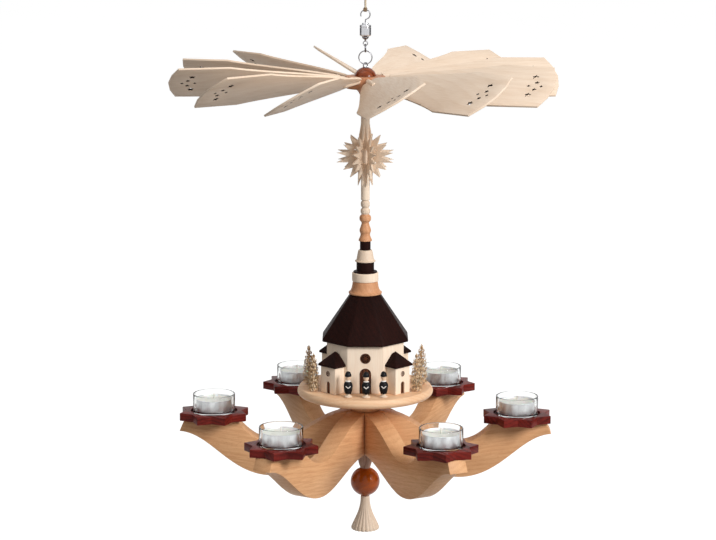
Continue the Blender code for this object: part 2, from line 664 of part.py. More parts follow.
def make_star_spindle(parent):
    thick = SPINDLE_DIAMETER / 2
    groove = thick * 0.76
    bead = SPINDLE_BEAD_DIAMETER / 2
    half = SPINDLE_BEAD / 2
    profile = [
        (0, SPINDLE_TOP_Z),
        (thick, SPINDLE_TOP_Z),
        (thick, STAR_Z + half + thick),
        (groove, STAR_Z + half),
        (bead, STAR_Z + half * 0.45),
        (bead, STAR_Z - half * 0.45),
        (groove, STAR_Z - half),
        (thick, STAR_Z - half - thick),
        (thick, SPINDLE_FOOT_Z),
        (0, SPINDLE_FOOT_Z),
    ]
    body = turned("spindle_body", profile, 12)
    fin = star_fin()
    stand = Matrix.Rotation(math.pi / 2, 4, "X")
    fins = []
    for i in range(STAR_FINS):
        turn = turn_z(STAR_FIRST + i * ROUND / STAR_FINS)
        fins.append((fin, Matrix.Translation((0, 0, STAR_Z)) @ turn @ stand))
    mesh = combined("star_spindle", (body, Matrix.Identity(4)), fins, "UNION")
    piece("star_spindle", mesh, "pale_beech", Matrix.Translation((0, 0, -parent.location.z)), parent)


def make_baluster(parent):
    z = BALUSTER_TOP_Z
    profile = [(0, z)]
    for diameter, height in UPPER_BEADS:
        waist = diameter / 2 * 0.8
        profile += [(waist, z), (diameter / 2, z - height * 0.3), (diameter / 2, z - height * 0.7)]
        z -= height
        profile.append((waist, z))
    vase = VASE_DIAMETER / 2
    profile += [(vase * 0.62, z - 0.04 * VASE_HEIGHT), (vase * 0.78, z - VASE_HEIGHT * 0.35)]
    profile += [(vase, z - VASE_HEIGHT * 0.72), (vase * 0.8, z - VASE_HEIGHT)]
    z -= VASE_HEIGHT
    foot = FOOT_DIAMETER / 2
    profile += [(foot * 0.72, z - FOOT_HEIGHT * 0.35), (foot, z - FOOT_HEIGHT * 0.8), (foot, z - FOOT_HEIGHT)]
    z -= FOOT_HEIGHT
    drum = UPPER_DRUM[0] / 2
    profile += [(drum, z), (drum, z - UPPER_DRUM[1]), (0, z - UPPER_DRUM[1])]
    mesh = turned("baluster", profile, 12)
    piece("baluster", mesh, "pale_beech", Matrix.Translation((0, 0, -parent.location.z)), parent)


def bell_profile(z, top, bottom, height):
    """A bell's side from z down: a round shoulder, a hollow flank and a thin lip."""
    lip = height * 0.12
    mouth_z = z - height + lip
    side = bezier((top, z - height * 0.06), (top * 1.12, z - height * 0.5), (bottom * 0.84, mouth_z), (bottom, mouth_z), 4)
    return [(top * 0.94, z), *side, (bottom * 0.97, z - height)]


def make_spire_base(parent):
    z = SPIRE_TOP_Z
    profile = [(0, z), *bell_profile(z, UPPER_BELL[0] / 2, UPPER_BELL[1] / 2, UPPER_BELL[2])]
    z -= UPPER_BELL[2]
    drum = LOWER_DRUM[0] / 2
    ring = SPIRE_RING[0] / 2
    ledge = ring * 0.87
    step = LOWER_DRUM[1] * 0.16
    profile += [(drum, z), (drum, z - LOWER_DRUM[1] + step), (ledge, z - LOWER_DRUM[1] + step)]
    z -= LOWER_DRUM[1]
    round_by = SPIRE_RING[1] * 0.2
    profile += [(ledge, z), (ring - round_by, z), (ring, z - round_by), (ring, z - SPIRE_RING[1] + round_by)]
    z -= SPIRE_RING[1]
    profile += [(ring - round_by, z), *bell_profile(z, LOWER_BELL[0] / 2, LOWER_BELL[1] / 2, LOWER_BELL[2])]
    profile.append((0, z - LOWER_BELL[2]))
    mesh = turned("spire_base", profile, 14)
    piece("spire_base", mesh, "pale_beech", Matrix.Translation((0, 0, -parent.location.z)), parent)


def octagon(across, z):
    corner = across / 2 / math.cos(math.pi / 8)
    return [(x, y, z) for x, y in arc(corner, 22.5, 337.5, 8)]


def stacked(name, loops):
    """A closed form through loops of equal count, from the lowest up."""
    form = bmesh.new()
    rows = [[form.verts.new(point) for point in loop] for loop in loops]
    for lower, upper in zip(rows, rows[1:]):
        count = len(lower)
        for i in range(count):
            j = (i + 1) % count
            form.faces.new((lower[i], lower[j], upper[j], upper[i]))
    form.faces.new(rows[0])
    form.faces.new(rows[-1])
    bmesh.ops.recalc_face_normals(form, faces=form.faces)
    return mesh_of(name, form)


def make_roof(parent):
    loops = [
        octagon(ROOF_EAVE_WIDTH, ROOF_FOOT_Z),
        octagon(ROOF_EAVE_WIDTH, ROOF_FOOT_Z + ROOF_EDGE),
        octagon(ROOF_TOP_WIDTH, ROOF_TOP_Z),
    ]
    mesh = stacked("church_roof", loops)
    piece("church_roof", mesh, "roof_stain", Matrix.Translation((0, 0, -parent.location.z)), parent, 0)


def wall_outline():
    """The church's plan: a square with broad cut corners."""
    out = WALL_WIDTH / 2
    along = WALL_FACE / 2
    corners = []
    for i in range(4):
        for side in (-1, 1):
            x, y = out, side * along
            angle = i * math.pi / 2
            corners.append((x * math.cos(angle) - y * math.sin(angle), x * math.sin(angle) + y * math.cos(angle)))
    return corners


def square_loop(width, z):
    half = width / 2
    return [(half, half, z), (-half, half, z), (-half, -half, z), (half, -half, z)]


def arched(width, height, count=6):
    """A doorway's outline in XY with a round top, its foot at y 0."""
    half = width / 2
    return [(-half, -RECESS), (half, -RECESS), *arc(half, 0, 180, count, (0, height - half))]


def make_walls(parent):
    plan = wall_outline()
    middle = WALL_FOOT_Z + WALL_HEIGHT / 2
    body = plate("walls_body", plan, WALL_HEIGHT)
    turret_loops = [square_loop(TURRET_WIDTH, WALL_FOOT_Z), square_loop(TURRET_WIDTH, WALL_FOOT_Z + TURRET_HEIGHT)]
    turret = stacked("turret", turret_loops)
    eave = WALL_FOOT_Z + TURRET_HEIGHT
    edge = eave + TURRET_ROOF_EDGE
    tip = TURRET_ROOF_WIDTH * 0.02
    roof_loops = [
        square_loop(TURRET_ROOF_WIDTH, eave - TURRET_ROOF_LAP),
        square_loop(TURRET_ROOF_WIDTH, edge),
        square_loop(tip, eave + TURRET_ROOF_HEIGHT),
    ]
    roof = stacked("turret_roof", roof_loops)
    corners = [turn_z(45 + 90 * i) @ Matrix.Translation((TURRET_OUT, 0, 0)) for i in range(4)]
    added = [(turret, corner) for corner in corners] + [(roof, corner) for corner in corners]
    whole = combined("walls_whole", (body, Matrix.Translation((0, 0, middle))), added, "UNION")

    deep = 2 * RECESS
    rosette = plate("rosette_cut", arc(ROSETTE_DIAMETER / 2, 0, 324, 10), deep)
    door = plate("door_cut", arched(DOOR_WIDTH, DOOR_HEIGHT), deep)
    window = plate("turret_window_cut", arc(TURRET_WINDOW / 2, 0, 300, 6), deep)
    turret_door = plate("turret_door_cut", arched(TURRET_DOOR_WIDTH, TURRET_DOOR_HEIGHT, 4), deep)
    # The drawings stand upright and face outwards along +X
    face = Matrix.Rotation(math.pi / 2, 4, "Z") @ Matrix.Rotation(math.pi / 2, 4, "X")
    cuts = []
    for i in range(4):
        front = turn_z(90 * i) @ Matrix.Translation((WALL_WIDTH / 2, 0, WALL_FOOT_Z))
        cuts.append((rosette, front @ Matrix.Translation((0, 0, ROSETTE_HEIGHT)) @ face))
        cuts.append((door, front @ face))
        outer = corners[i] @ Matrix.Translation((TURRET_WIDTH / 2, 0, WALL_FOOT_Z))
        cuts.append((window, outer @ Matrix.Translation((0, 0, TURRET_WINDOW_HEIGHT)) @ face))
        cuts.append((turret_door, outer @ face))
    mesh = combined("church_walls", (whole, Matrix.Identity(4)), cuts, "DIFFERENCE")
    piece("church_walls", mesh, "pale_beech", Matrix.Translation((0, 0, -parent.location.z)), parent, 0)


def make_disc(parent):
    radius = DISC_DIAMETER / 2
    round_by = DISC_THICKNESS / 2
    edge = [(x, z) for x, z in arc(round_by, 70, -70, 5, (radius - round_by, DISC_TOP_Z - round_by))]
    collar = COLLAR_DIAMETER / 2
    collar_foot = DISC_FOOT_Z - COLLAR_HEIGHT
    profile = [(0, DISC_TOP_Z), (radius - round_by, DISC_TOP_Z), *edge, (radius - round_by, DISC_FOOT_Z)]
    profile += [(collar, DISC_FOOT_Z), (collar, collar_foot), (0, collar_foot)]
    mesh = turned("disc", profile, 30)
    piece("disc", mesh, "pale_beech", Matrix.Translation((0, 0, -parent.location.z)), parent)


def make_figures(parent):
    """Plain turned figures: foot, coat widening to the shoulders, head and round cap."""
    half = FIGURE_WIDTH / 2
    tall = FIGURE_HEIGHT
    shares = (
        (0, 1.0), (0.62, 0.96), (0.84, 0.86), (0.7, 0.845), (0.66, 0.75), (0.42, 0.69), (0.86, 0.645),
        (1.0, 0.585), (0.62, 0.14), (0.6, 0.05), (0.95, 0.045), (0.95, 0.0), (0, 0.0),
    )
    mesh = turned("figure", [(half * out, tall * up) for out, up in shares], 8)
    for i, (x, y) in enumerate(FIGURE_PLACES):
        place = Matrix.Translation((x, y, DISC_TOP_Z + SEAT - parent.location.z))
        piece(f"figure_{i + 1}", mesh, "black_lacquer", place, parent)


def make_trees(parent):
    """Trees of curled shavings: frilled tiers on a thin stem, each tier smaller than the last."""
    for i, (x, y, height, width) in enumerate(TREE_PLACES):
        stem = 0.06 * width
        low = 0.1 * height
        top = 0.97 * height
        step = (top - low) / TREE_TIERS
        rings = [(2.2 * stem, 0.0), (1.6 * stem, low)]
        for tier in range(TREE_TIERS):
            radius = width / 2 * (1 - tier / (TREE_TIERS + 0.6))
            z = low + tier * step
            rings += [(radius, z + 0.2 * step), (radius * 0.5, z + step)]
        rings.append((stem, height))
        mesh = fluted(f"tree_{i + 1}", rings, TREE_FRILLS, 0.16)
        place = Matrix.Translation((x, y, DISC_TOP_Z + SEAT - parent.location.z))
        piece(f"tree_{i + 1}", mesh, "shaving", place, parent, 60)


def arm_outline():
    """The side view of one arm, as (distance from the axis, height)."""
    seat = ARM_SEAT_Z
    seat_start = CUP_CIRCLE - 23.5 * MM
    tip_foot = (ARM_REACH, seat - ARM_TIP_HEIGHT)
    lobe = (ARM_LOBE_AT, seat - ARM_LOBE)
    dip = (ARM_DIP_AT, seat - ARM_DIP)
    heart_top = (ARM_HEART, seat + ARM_RISE)
    heart_foot = (ARM_HEART, seat - ARM_HEART_DEPTH)
    span = ARM_REACH - ARM_LOBE_AT
    outer = bezier(
        tip_foot, (ARM_REACH - span * 0.34, tip_foot[1] - 2 * MM), (ARM_LOBE_AT + span * 0.46, lobe[1]), lobe, 10
    )
    inner = bezier(
        lobe, (lobe[0] * 0.74, lobe[1]), (lobe[0] * 0.48, heart_foot[1] - 3 * MM), heart_foot, 8
    )
    drop = seat_start - ARM_DIP_AT
    into_dip = bezier(
        dip, (ARM_DIP_AT + drop * 0.42, dip[1]), (ARM_DIP_AT + drop * 0.66, seat - ARM_DIP * 0.74), (seat_start, seat), 7
    )
    climb = bezier(
        heart_top, (dip[0] * 0.58, heart_top[1] - 5 * MM), (dip[0] * 0.78, dip[1]), dip, 8
    )
    tip_top = (ARM_REACH - ARM_TIP_SLANT, seat)
    return [tip_foot, *outer[1:-1], *inner, (0, heart_foot[1]), (0, heart_top[1]), *climb[:-1], *into_dip, tip_top]


def make_arms(parent):
    form = bmesh.new()
    half = ARM_THICKNESS / 2
    side = [form.verts.new((r, -half, z - parent.location.z)) for r, z in arm_outline()]
    face = form.faces.new(side)
    made = bmesh.ops.extrude_face_region(form, geom=[face])["geom"]
    far = [v for v in made if isinstance(v, bmesh.types.BMVert)]
    bmesh.ops.translate(form, verts=far, vec=(0, ARM_THICKNESS, 0))
    bmesh.ops.recalc_face_normals(form, faces=form.faces)
    # The inner end is mitred on both sides, so that all the arms meet on the axis
    mitre = math.pi / ARM_COUNT
    for sign in (-1, 1):
        normal = Vector((-math.sin(mitre), sign * math.cos(mitre), 0))
        cut = bmesh.ops.bisect_plane(
            form, geom=form.verts[:] + form.edges[:] + form.faces[:],
            plane_co=-normal * SEAT / 2, plane_no=normal, clear_outer=True,
        )
        rim = [e for e in cut["geom_cut"] if isinstance(e, bmesh.types.BMEdge)]
        bmesh.ops.edgenet_fill(form, edges=rim)
    bmesh.ops.recalc_face_normals(form, faces=form.faces)
    mesh = mesh_of("arm", form)
    for i in range(ARM_COUNT):
        piece(f"arm_{i + 1}", mesh, "beech", turn_z(ARM_FIRST + i * ROUND / ARM_COUNT), parent, 25)


def holder_mesh():
    """An eight-pointed star plate, two squares laid across each other, with a round recess."""
    waist = math.cos(math.pi / 4) / math.cos(math.pi / 8)
    outline = star_outline(2 * HOLDER_TIP, 8, waist, turn=22.5)
    body = plate("holder_body", outline, HOLDER_THICKNESS)
    radius = GLASS_DIAMETER / 2 + GLASS_PLAY
    floor = HOLDER_THICKNESS / 2 - HOLDER_RECESS
    profile = [(0, HOLDER_THICKNESS), (radius, HOLDER_THICKNESS), (radius, floor), (0, floor)]
    cutter = turned("recess_cut", profile, 14)
    still = Matrix.Identity(4)
    return combined("star_holder", (body, still), [(cutter, still)], "DIFFERENCE")


def glass_mesh():
    outer = GLASS_DIAMETER / 2
    inner = outer - GLASS_WALL
    edge = 0.8 * MM
    profile = [
        (inner, GLASS_HEIGHT),
        (outer, GLASS_HEIGHT),
        (outer, edge),
        (outer - edge, 0),
        (0, 0),
    ]
    inside = [(0, GLASS_FLOOR), (inner - edge, GLASS_FLOOR), (inner, GLASS_FLOOR + edge)]
    return turned("glass", inside + profile, 14)


def tealight_mesh():
    """The thin cup filled with wax, and its wick."""
    outer = CUP_DIAMETER / 2
    wick = WICK_DIAMETER / 2
    profile = [
        (0, WAX_LEVEL + WICK_HEIGHT),
        (wick, WAX_LEVEL + WICK_HEIGHT),
        (wick, WAX_LEVEL),
        (outer - CUP_RIM, WAX_LEVEL),
        (outer - CUP_RIM, CUP_HEIGHT),
        (outer, CUP_HEIGHT),
        (outer, CUP_RIM),
        (outer - CUP_RIM, 0),
        (0, 0),
    ]
    return turned("tealight", profile, 10)


def make_candles(parent):
    holder = holder_mesh()
    glass = glass_mesh()
    tealight = tealight_mesh()
    for i in range(ARM_COUNT):
        turn = turn_z(ARM_FIRST + i * ROUND / ARM_COUNT)
        out = Matrix.Translation((CUP_CIRCLE, 0, -parent.location.z))
        middle = Matrix.Translation((0, 0, HOLDER_FOOT_Z + HOLDER_THICKNESS / 2))
        piece(f"star_holder_{i + 1}", holder, "red_stain", turn @ out @ middle, parent)
        piece(f"glass_{i + 1}", glass, "glass", turn @ out @ Matrix.Translation((0, 0, GLASS_FOOT_Z)), parent)
        place = turn @ out @ Matrix.Translation((0, 0, CUP_FOOT_Z))
        piece(f"tealight_{i + 1}", tealight, "aluminium", place, parent)


def make_drop(parent):
    lift = Matrix.Translation((0, 0, -parent.location.z))
    crown = CROWN_DIAMETER / 2
    ball = BALL_DIAMETER / 2
    start = math.degrees(math.acos(CROWN_FOOT_DIAMETER / BALL_DIAMETER))
    profile = [
        (0, CROWN_TOP_Z),
        (crown, CROWN_TOP_Z),
        (crown, CROWN_TOP_Z - CROWN_HEIGHT * 0.55),
        (crown * 0.86, CROWN_TOP_Z - CROWN_HEIGHT * 0.72),
        *arc(ball, start, DOWN, 8, (0, BALL_Z)),
    ]
    piece("drop_ball", turned("drop_ball", profile, 16), "amber_lacquer", lift, parent)

    top = TASSEL_TOP_DIAMETER / 2
    wide = TASSEL_DIAMETER / 2
    side = bezier(
        (top, TASSEL_TOP_Z),
        (top, TASSEL_TOP_Z - TASSEL_HEIGHT * 0.45),
        (wide * 0.68, TASSEL_TOP_Z - TASSEL_HEIGHT * 0.62),
        (wide, TASSEL_TOP_Z - TASSEL_HEIGHT),
        6,
    )
    piece("tassel", fluted("tassel", side, TASSEL_FLUTES, 0.1), "pale_beech", lift, parent, 60)


def main():
    clear_scene()
    make_hanger()
    swivel_pivot = carrier("swivel_pivot", SWIVEL_FOOT_Z)
    make_swivel_eye(swivel_pivot)
    make_rings()
    pyramid = carrier("pyramid_pivot", RING_Z - RING_RADIUS)
    make_screw_eye(pyramid)
    make_hub_cap(pyramid)
    make_fan_hub(pyramid)
    make_blades(pyramid)
    make_star_spindle(pyramid)
    make_baluster(pyramid)
    make_spire_base(pyramid)
    make_roof(pyramid)
    make_walls(pyramid)
    make_disc(pyramid)
    make_figures(pyramid)
    make_trees(pyramid)
    make_arms(pyramid)
    make_candles(pyramid)
    make_drop(pyramid)


main()
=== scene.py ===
import math
import random

import bmesh
import bpy
from bpy.props import FloatProperty, FloatVectorProperty, IntProperty, PointerProperty
from mathutils import Matrix, Vector
from mathutils.geometry import interpolate_bezier


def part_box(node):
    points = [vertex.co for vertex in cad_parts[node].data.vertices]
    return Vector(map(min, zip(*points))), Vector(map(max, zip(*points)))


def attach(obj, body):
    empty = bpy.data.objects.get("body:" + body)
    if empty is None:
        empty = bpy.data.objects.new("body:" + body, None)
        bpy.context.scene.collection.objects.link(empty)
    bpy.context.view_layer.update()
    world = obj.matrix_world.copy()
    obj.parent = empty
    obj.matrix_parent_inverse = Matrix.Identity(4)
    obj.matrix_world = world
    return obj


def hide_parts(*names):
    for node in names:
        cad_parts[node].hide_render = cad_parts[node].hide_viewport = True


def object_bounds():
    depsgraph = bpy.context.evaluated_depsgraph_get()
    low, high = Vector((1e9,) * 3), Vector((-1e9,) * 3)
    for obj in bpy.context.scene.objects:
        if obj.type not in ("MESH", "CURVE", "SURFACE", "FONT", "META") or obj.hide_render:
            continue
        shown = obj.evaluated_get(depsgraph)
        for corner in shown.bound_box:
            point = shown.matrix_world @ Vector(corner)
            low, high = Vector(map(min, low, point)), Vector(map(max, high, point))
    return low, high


bl_info = {
    "name": "Hanging Christmas Pyramid",
    "version": (1, 0, 0),
    "blender": (4, 5, 0),
    "location": "3D View > Sidebar > Pyramid",
    "description": "Builds a hanging candle pyramid with a fan wheel, a church and six star holders",
    "category": "Add Mesh",
}

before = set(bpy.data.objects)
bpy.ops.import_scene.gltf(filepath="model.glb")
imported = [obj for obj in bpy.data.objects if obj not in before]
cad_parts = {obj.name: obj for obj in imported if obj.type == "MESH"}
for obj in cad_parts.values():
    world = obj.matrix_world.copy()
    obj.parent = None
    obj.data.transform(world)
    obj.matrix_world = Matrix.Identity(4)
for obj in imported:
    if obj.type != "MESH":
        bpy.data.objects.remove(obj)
CAD_LOW, CAD_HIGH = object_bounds()
MM = 0.001
SEAT = 0.3 * MM  # the gap between pieces that are seated on each other
FULL_TURN = 2 * math.pi
# A drawing in XY stood up to face -Y, and turned to face outward along X
UPRIGHT = Matrix.Rotation(math.pi / 2, 4, "X")
OUTWARD = Matrix.Rotation(math.pi / 2, 4, "Z") @ UPRIGHT


def size(label, millimetres, text):
    """A length that a user may change, given in millimetres."""
    return FloatProperty(name=label, description=text, default=millimetres * MM, min=0, unit="LENGTH")


def angle(label, degrees, text):
    """An angle that a user may change, given in degrees."""
    return FloatProperty(name=label, description=text, default=math.radians(degrees), subtype="ANGLE")


def count(label, number, text):
    """A number of pieces that a user may change."""
    return IntProperty(name=label, description=text, default=number, min=1)


def colour(label, screen, text):
    """A colour that a user may change, given as it looks on screen, 0 to 255."""
    linear = [((value / 255 + 0.055) / 1.055) ** 2.4 for value in screen]
    return FloatVectorProperty(name=label, description=text, default=linear, min=0, max=1, subtype="COLOR")


class StageSizes(bpy.types.PropertyGroup):
    """Camera, floor and key lamp."""

    camera_place: FloatVectorProperty(
        name="Camera place", description="Where the camera stands",
        default=(-0.00749, -2.4703, 0.1978), subtype="TRANSLATION", unit="LENGTH",
    )
    camera_tilt: angle("Camera tilt", 79.35, "Angle of the camera from straight down")
    lens: FloatProperty(name="Lens", description="Focal length on a 36 mm sensor", default=122.7, min=1)
    floor_gap: size("Floor gap", 120, "Distance from the tassel down to the floor")
    floor_side: size("Floor side", 30000, "Side of the square floor")
    key_power: FloatProperty(name="Key lamp", description="Power of the large soft lamp, in watts", default=82)


class HangerSizes(bpy.types.PropertyGroup):
    """Twine, hook, swivel and rings."""

    twine_foot: size("Twine foot", 1.5, "Height at which the twine leaves its knot on the hook")
    twine_length: size("Twine length", 46, "Length of the twine above the knot")
    twine_diameter: size("Twine thickness", 2.4, "Thickness of the laid twine")
    strands: count("Strands", 3, "Strands laid into the twine")
    strand_turns: FloatProperty(name="Strand turns", description="Turns of a strand along the twine", default=5.5)
    hook_wire: size("Hook wire", 1.2, "Thickness of the hook's wire")
    hook_bend: size("Hook bend", 4.1, "Inner radius of the hook")
    hook_tip: angle("Hook tip", 204, "Where the bend starts, from the right over the top")
    hook_turn: angle("Hook turn", -62, "Where the bend turns towards the stem")
    barrel: size("Swivel barrel", 12, "Width of the swivel's barrel")
    barrel_cap: size("Swivel cap", 7, "Width of the cap on the barrel")
    barrel_cap_height: size("Swivel cap height", 1.5, "Height of the cap on the barrel")
    collar: size("Swivel collar", 7, "Width of the collar under the barrel")
    collar_height: size("Swivel collar height", 2.7, "Height of the collar under the barrel")
    swivel_shank: size("Swivel shank", 2.6, "Thickness of the turning shank")
    eye_bore: size("Swivel eye", 1.7, "Inner radius of the swivel's eye")
    eye_wire: size("Swivel eye wire", 1.0, "Thickness of the swivel's eye")
    link_radius: size("Split ring", 4.5, "Outer radius of the small split ring")
    link_wire: size("Split ring wire", 0.9, "Thickness of the split ring's wire")
    ring_radius: size("Large ring", 6.7, "Radius of the large ring to the middle of its wire")
    ring_wire: size("Large ring wire", 1.1, "Thickness of the large ring's wire")
    screw_bore: size("Screw eye", 2.0, "Inner radius of the screw eye")
    screw_wire: size("Screw eye wire", 1.2, "Thickness of the screw eye's wire")
    screw_shank: size("Screw eye shank", 7.5, "Length of the screw eye's thread")
    screw_turn: angle("Screw eye turn", 38, "Turn of the screw eye from the large ring")


class FanSizes(bpy.types.PropertyGroup):
    """Cap, hub and blades of the fan wheel."""

    cap: size("Hub cap", 22.4, "Width of the dark cap")
    hub: size("Hub", 40.6, "Width of the fan hub")
    hub_rim: size("Hub rim", 12.4, "Height of the fan hub's rim")
    hub_lip: size("Hub lip", 4.4, "How far the hollow starts inside the rim")
    hub_flare: size("Hub flare", 14, "Height over which the hollow narrows to the neck")
    neck: size("Hub neck", 9.2, "Width of the neck under the hub")
    stems_down: size("Stem depth", 3.9, "Depth of the blade stems under the hub's top")
    blades: count("Blades", 12, "Blades in the fan wheel")
    first: angle("First blade", 8.4, "Turn of the first blade from the right")
    pitch: angle("Blade pitch", 30.4, "Tilt of the blades")
    tip: size("Blade tip", 200, "Distance of a blade's tip from the axis")
    tip_corner: size("Blade corner", 191.5, "Distance of a blade's outer corners from the axis")
    wide_from: size("Blade shoulder", 140, "Distance from the axis at which a blade is widest")
    root: size("Blade root", 26, "Distance at which a blade begins")
    width: size("Blade width", 68, "Greatest width of a blade")
    tip_width: size("Blade tip width", 65, "Width of a blade at its outer corners")
    root_width: size("Blade root width", 14, "Width of a blade where it begins")
    thickness: size("Blade thickness", 2, "Thickness of a blade")
    stem: size("Stem", 5.4, "Thickness of a blade's round stem")
    stem_end: size("Stem end", 58, "Distance at which the stem ends on the blade")
    stem_plug: size("Stem plug", 6, "How far a stem goes into the hub")
    star_cut: size("Star cut-out", 7.2, "Size of the two outer star cut-outs")
    small_star_cut: size("Small star cut-out", 5.2, "Size of the two inner star cut-outs")
    pin_cut: size("Diamond cut-out", 3.8, "Size of the diamond cut-outs")


class SpireSizes(bpy.types.PropertyGroup):
    """Star spindle and the turned spire under it."""

    spindle: size("Spindle", 9, "Thickness of the star spindle")
    bead: size("Spindle bead", 8.6, "Width of the bead in the star")
    bead_height: size("Spindle bead height", 17, "Height of the bead in the star")
    fins: count("Star fins", 8, "Half plates in the star")
    fin_first: angle("First star fin", 20, "Turn of the first star fin")
    fin_thickness: size("Star plate", 2, "Thickness of the star plates")
    star_hole: size("Star hole", 2.4, "Width of the holes in the star plates")
    upper_drum: size("Upper drum", 11, "Width of the stained drum under the foot")
    upper_bell: size("Upper bell", 21.4, "Width of the upper bell's mouth")
    lower_drum: size("Lower drum", 18.2, "Width of the lower stained drum")
    ring: size("Spire ring", 27.2, "Width of the pale ring")
    lower_bell: size("Lower bell", 34.6, "Width of the lower bell's mouth")


class ChurchSizes(bpy.types.PropertyGroup):
    """Church with its turrets, on its disc."""

    roof_top: size("Roof top", 31, "Width of the roof's flat top")
    eave: size("Eave", 88.4, "Width of the roof at the eave")
    roof_edge: size("Roof edge", 2.4, "Height of the roof's upright edge")
    wall: size("Church width", 79, "Distance between opposite main walls")
    wall_face: size("Wall face", 36.6, "Width of a main wall")
    turret_out: size("Turret place", 43.6, "Distance of a turret from the middle of the church")
    turret: size("Turret width", 20.8, "Width of a turret")
    turret_height: size("Turret height", 28.4, "Height of a turret's walls")
    turret_eave: size("Turret eave", 25, "Width of a turret's roof")
    turret_roof: size("Turret roof", 14, "Height of a turret's roof")
    rosette: size("Round window", 11, "Width of the round windows")
    rosette_height: size("Round window height", 36.6, "Height of the round windows above the disc")
    door: size("Door", 12, "Width of the doors")
    door_height: size("Door height", 26.4, "Height of the doors")
    turret_window: size("Turret window", 5.6, "Width of a turret's round window")
    turret_window_height: size("Turret window height", 20.7, "Height of the turret windows")
    turret_door: size("Turret door", 5.2, "Width of a turret's doorway")
    turret_door_height: size("Turret door height", 12.6, "Height of a turret's doorway")
    recess: size("Recess", 1.2, "Depth of the windows and doors")
    disc: size("Disc", 140.8, "Width of the disc")
    disc_height: size("Disc height", 9.3, "Height of the disc")
    disc_collar: size("Disc collar", 33, "Width of the collar under the disc")
    tree_tiers: count("Tree tiers", 9, "Rows of curled shavings on a tree")
    tree_curls: count("Tree curls", 16, "Curls in a row")


class ArmSizes(bpy.types.PropertyGroup):
    """Arms, candle holders, glasses and tealights."""

    arms: count("Arms", 6, "Arms under the disc")
    first: angle("First arm", -1.9, "Turn of the first arm from the right")
    thickness: size("Arm thickness", 20, "Thickness of the arms' boards")
    reach: size("Arm reach", 193.2, "Distance of an arm's tip from the axis")
    slant: size("Tip slant", 5.2, "How far the tip's top lies behind its foot")
    tip_height: size("Tip height", 11.7, "Height of an arm's tip")
    rise: size("Arm rise", 10.4, "Height of the arms' middle above the candle seats")
    dip_at: size("Dip place", 92, "Distance of the dip from the axis")
    dip: size("Dip", 23, "Depth of the dip below the candle seats")
    lobe_at: size("Lobe place", 97, "Distance of the lowest point from the axis")
    lobe: size("Lobe", 58.7, "Depth of the lowest point below the candle seats")
    heart: size("Middle", 17, "Radius at which the arms' curves end in the middle")
    heart_depth: size("Middle depth", 33.1, "Depth of the middle's foot below the candle seats")
    holder_circle: size("Holder circle", 157.7, "Distance of a candle from the axis")
    holder: size("Holder points", 37.6, "Distance of a holder's points from its middle")
    holder_thickness: size("Holder thickness", 8.2, "Thickness of a star holder")
    holder_recess: size("Holder recess", 2.2, "Depth of the recess for the glass")
    glass: size("Glass", 44, "Width of a glass")
    glass_play: size("Glass play", 2.4, "Room round a glass in its recess")
    glass_height: size("Glass height", 20, "Height of a glass")
    glass_wall: size("Glass wall", 1.5, "Thickness of a glass's wall")
    glass_floor: size("Glass floor", 2.2, "Thickness of a glass's floor")
    cup: size("Tealight", 38.4, "Width of a tealight")
    cup_height: size("Tealight height", 12.6, "Height of a tealight's cup")
    wax_level: size("Wax level", 10.6, "Height of the wax in the cup")
    wick: size("Wick height", 7, "Height of the wick above the wax")


class DropSizes(bpy.types.PropertyGroup):
    """Crown, ball and tassel under the arms."""

    crown: size("Crown", 15.2, "Width of the carved crown")
    crown_foot: size("Crown foot", 9.8, "Width of the crown where it meets the ball")
    ball: size("Ball", 30.6, "Width of the amber ball")
    tassel_top: size("Tassel top", 9.8, "Width of the tassel's neck")
    tassel: size("Tassel", 29.6, "Width of the tassel's foot")
    flutes: count("Flutes", 20, "Flutes cut round the tassel")


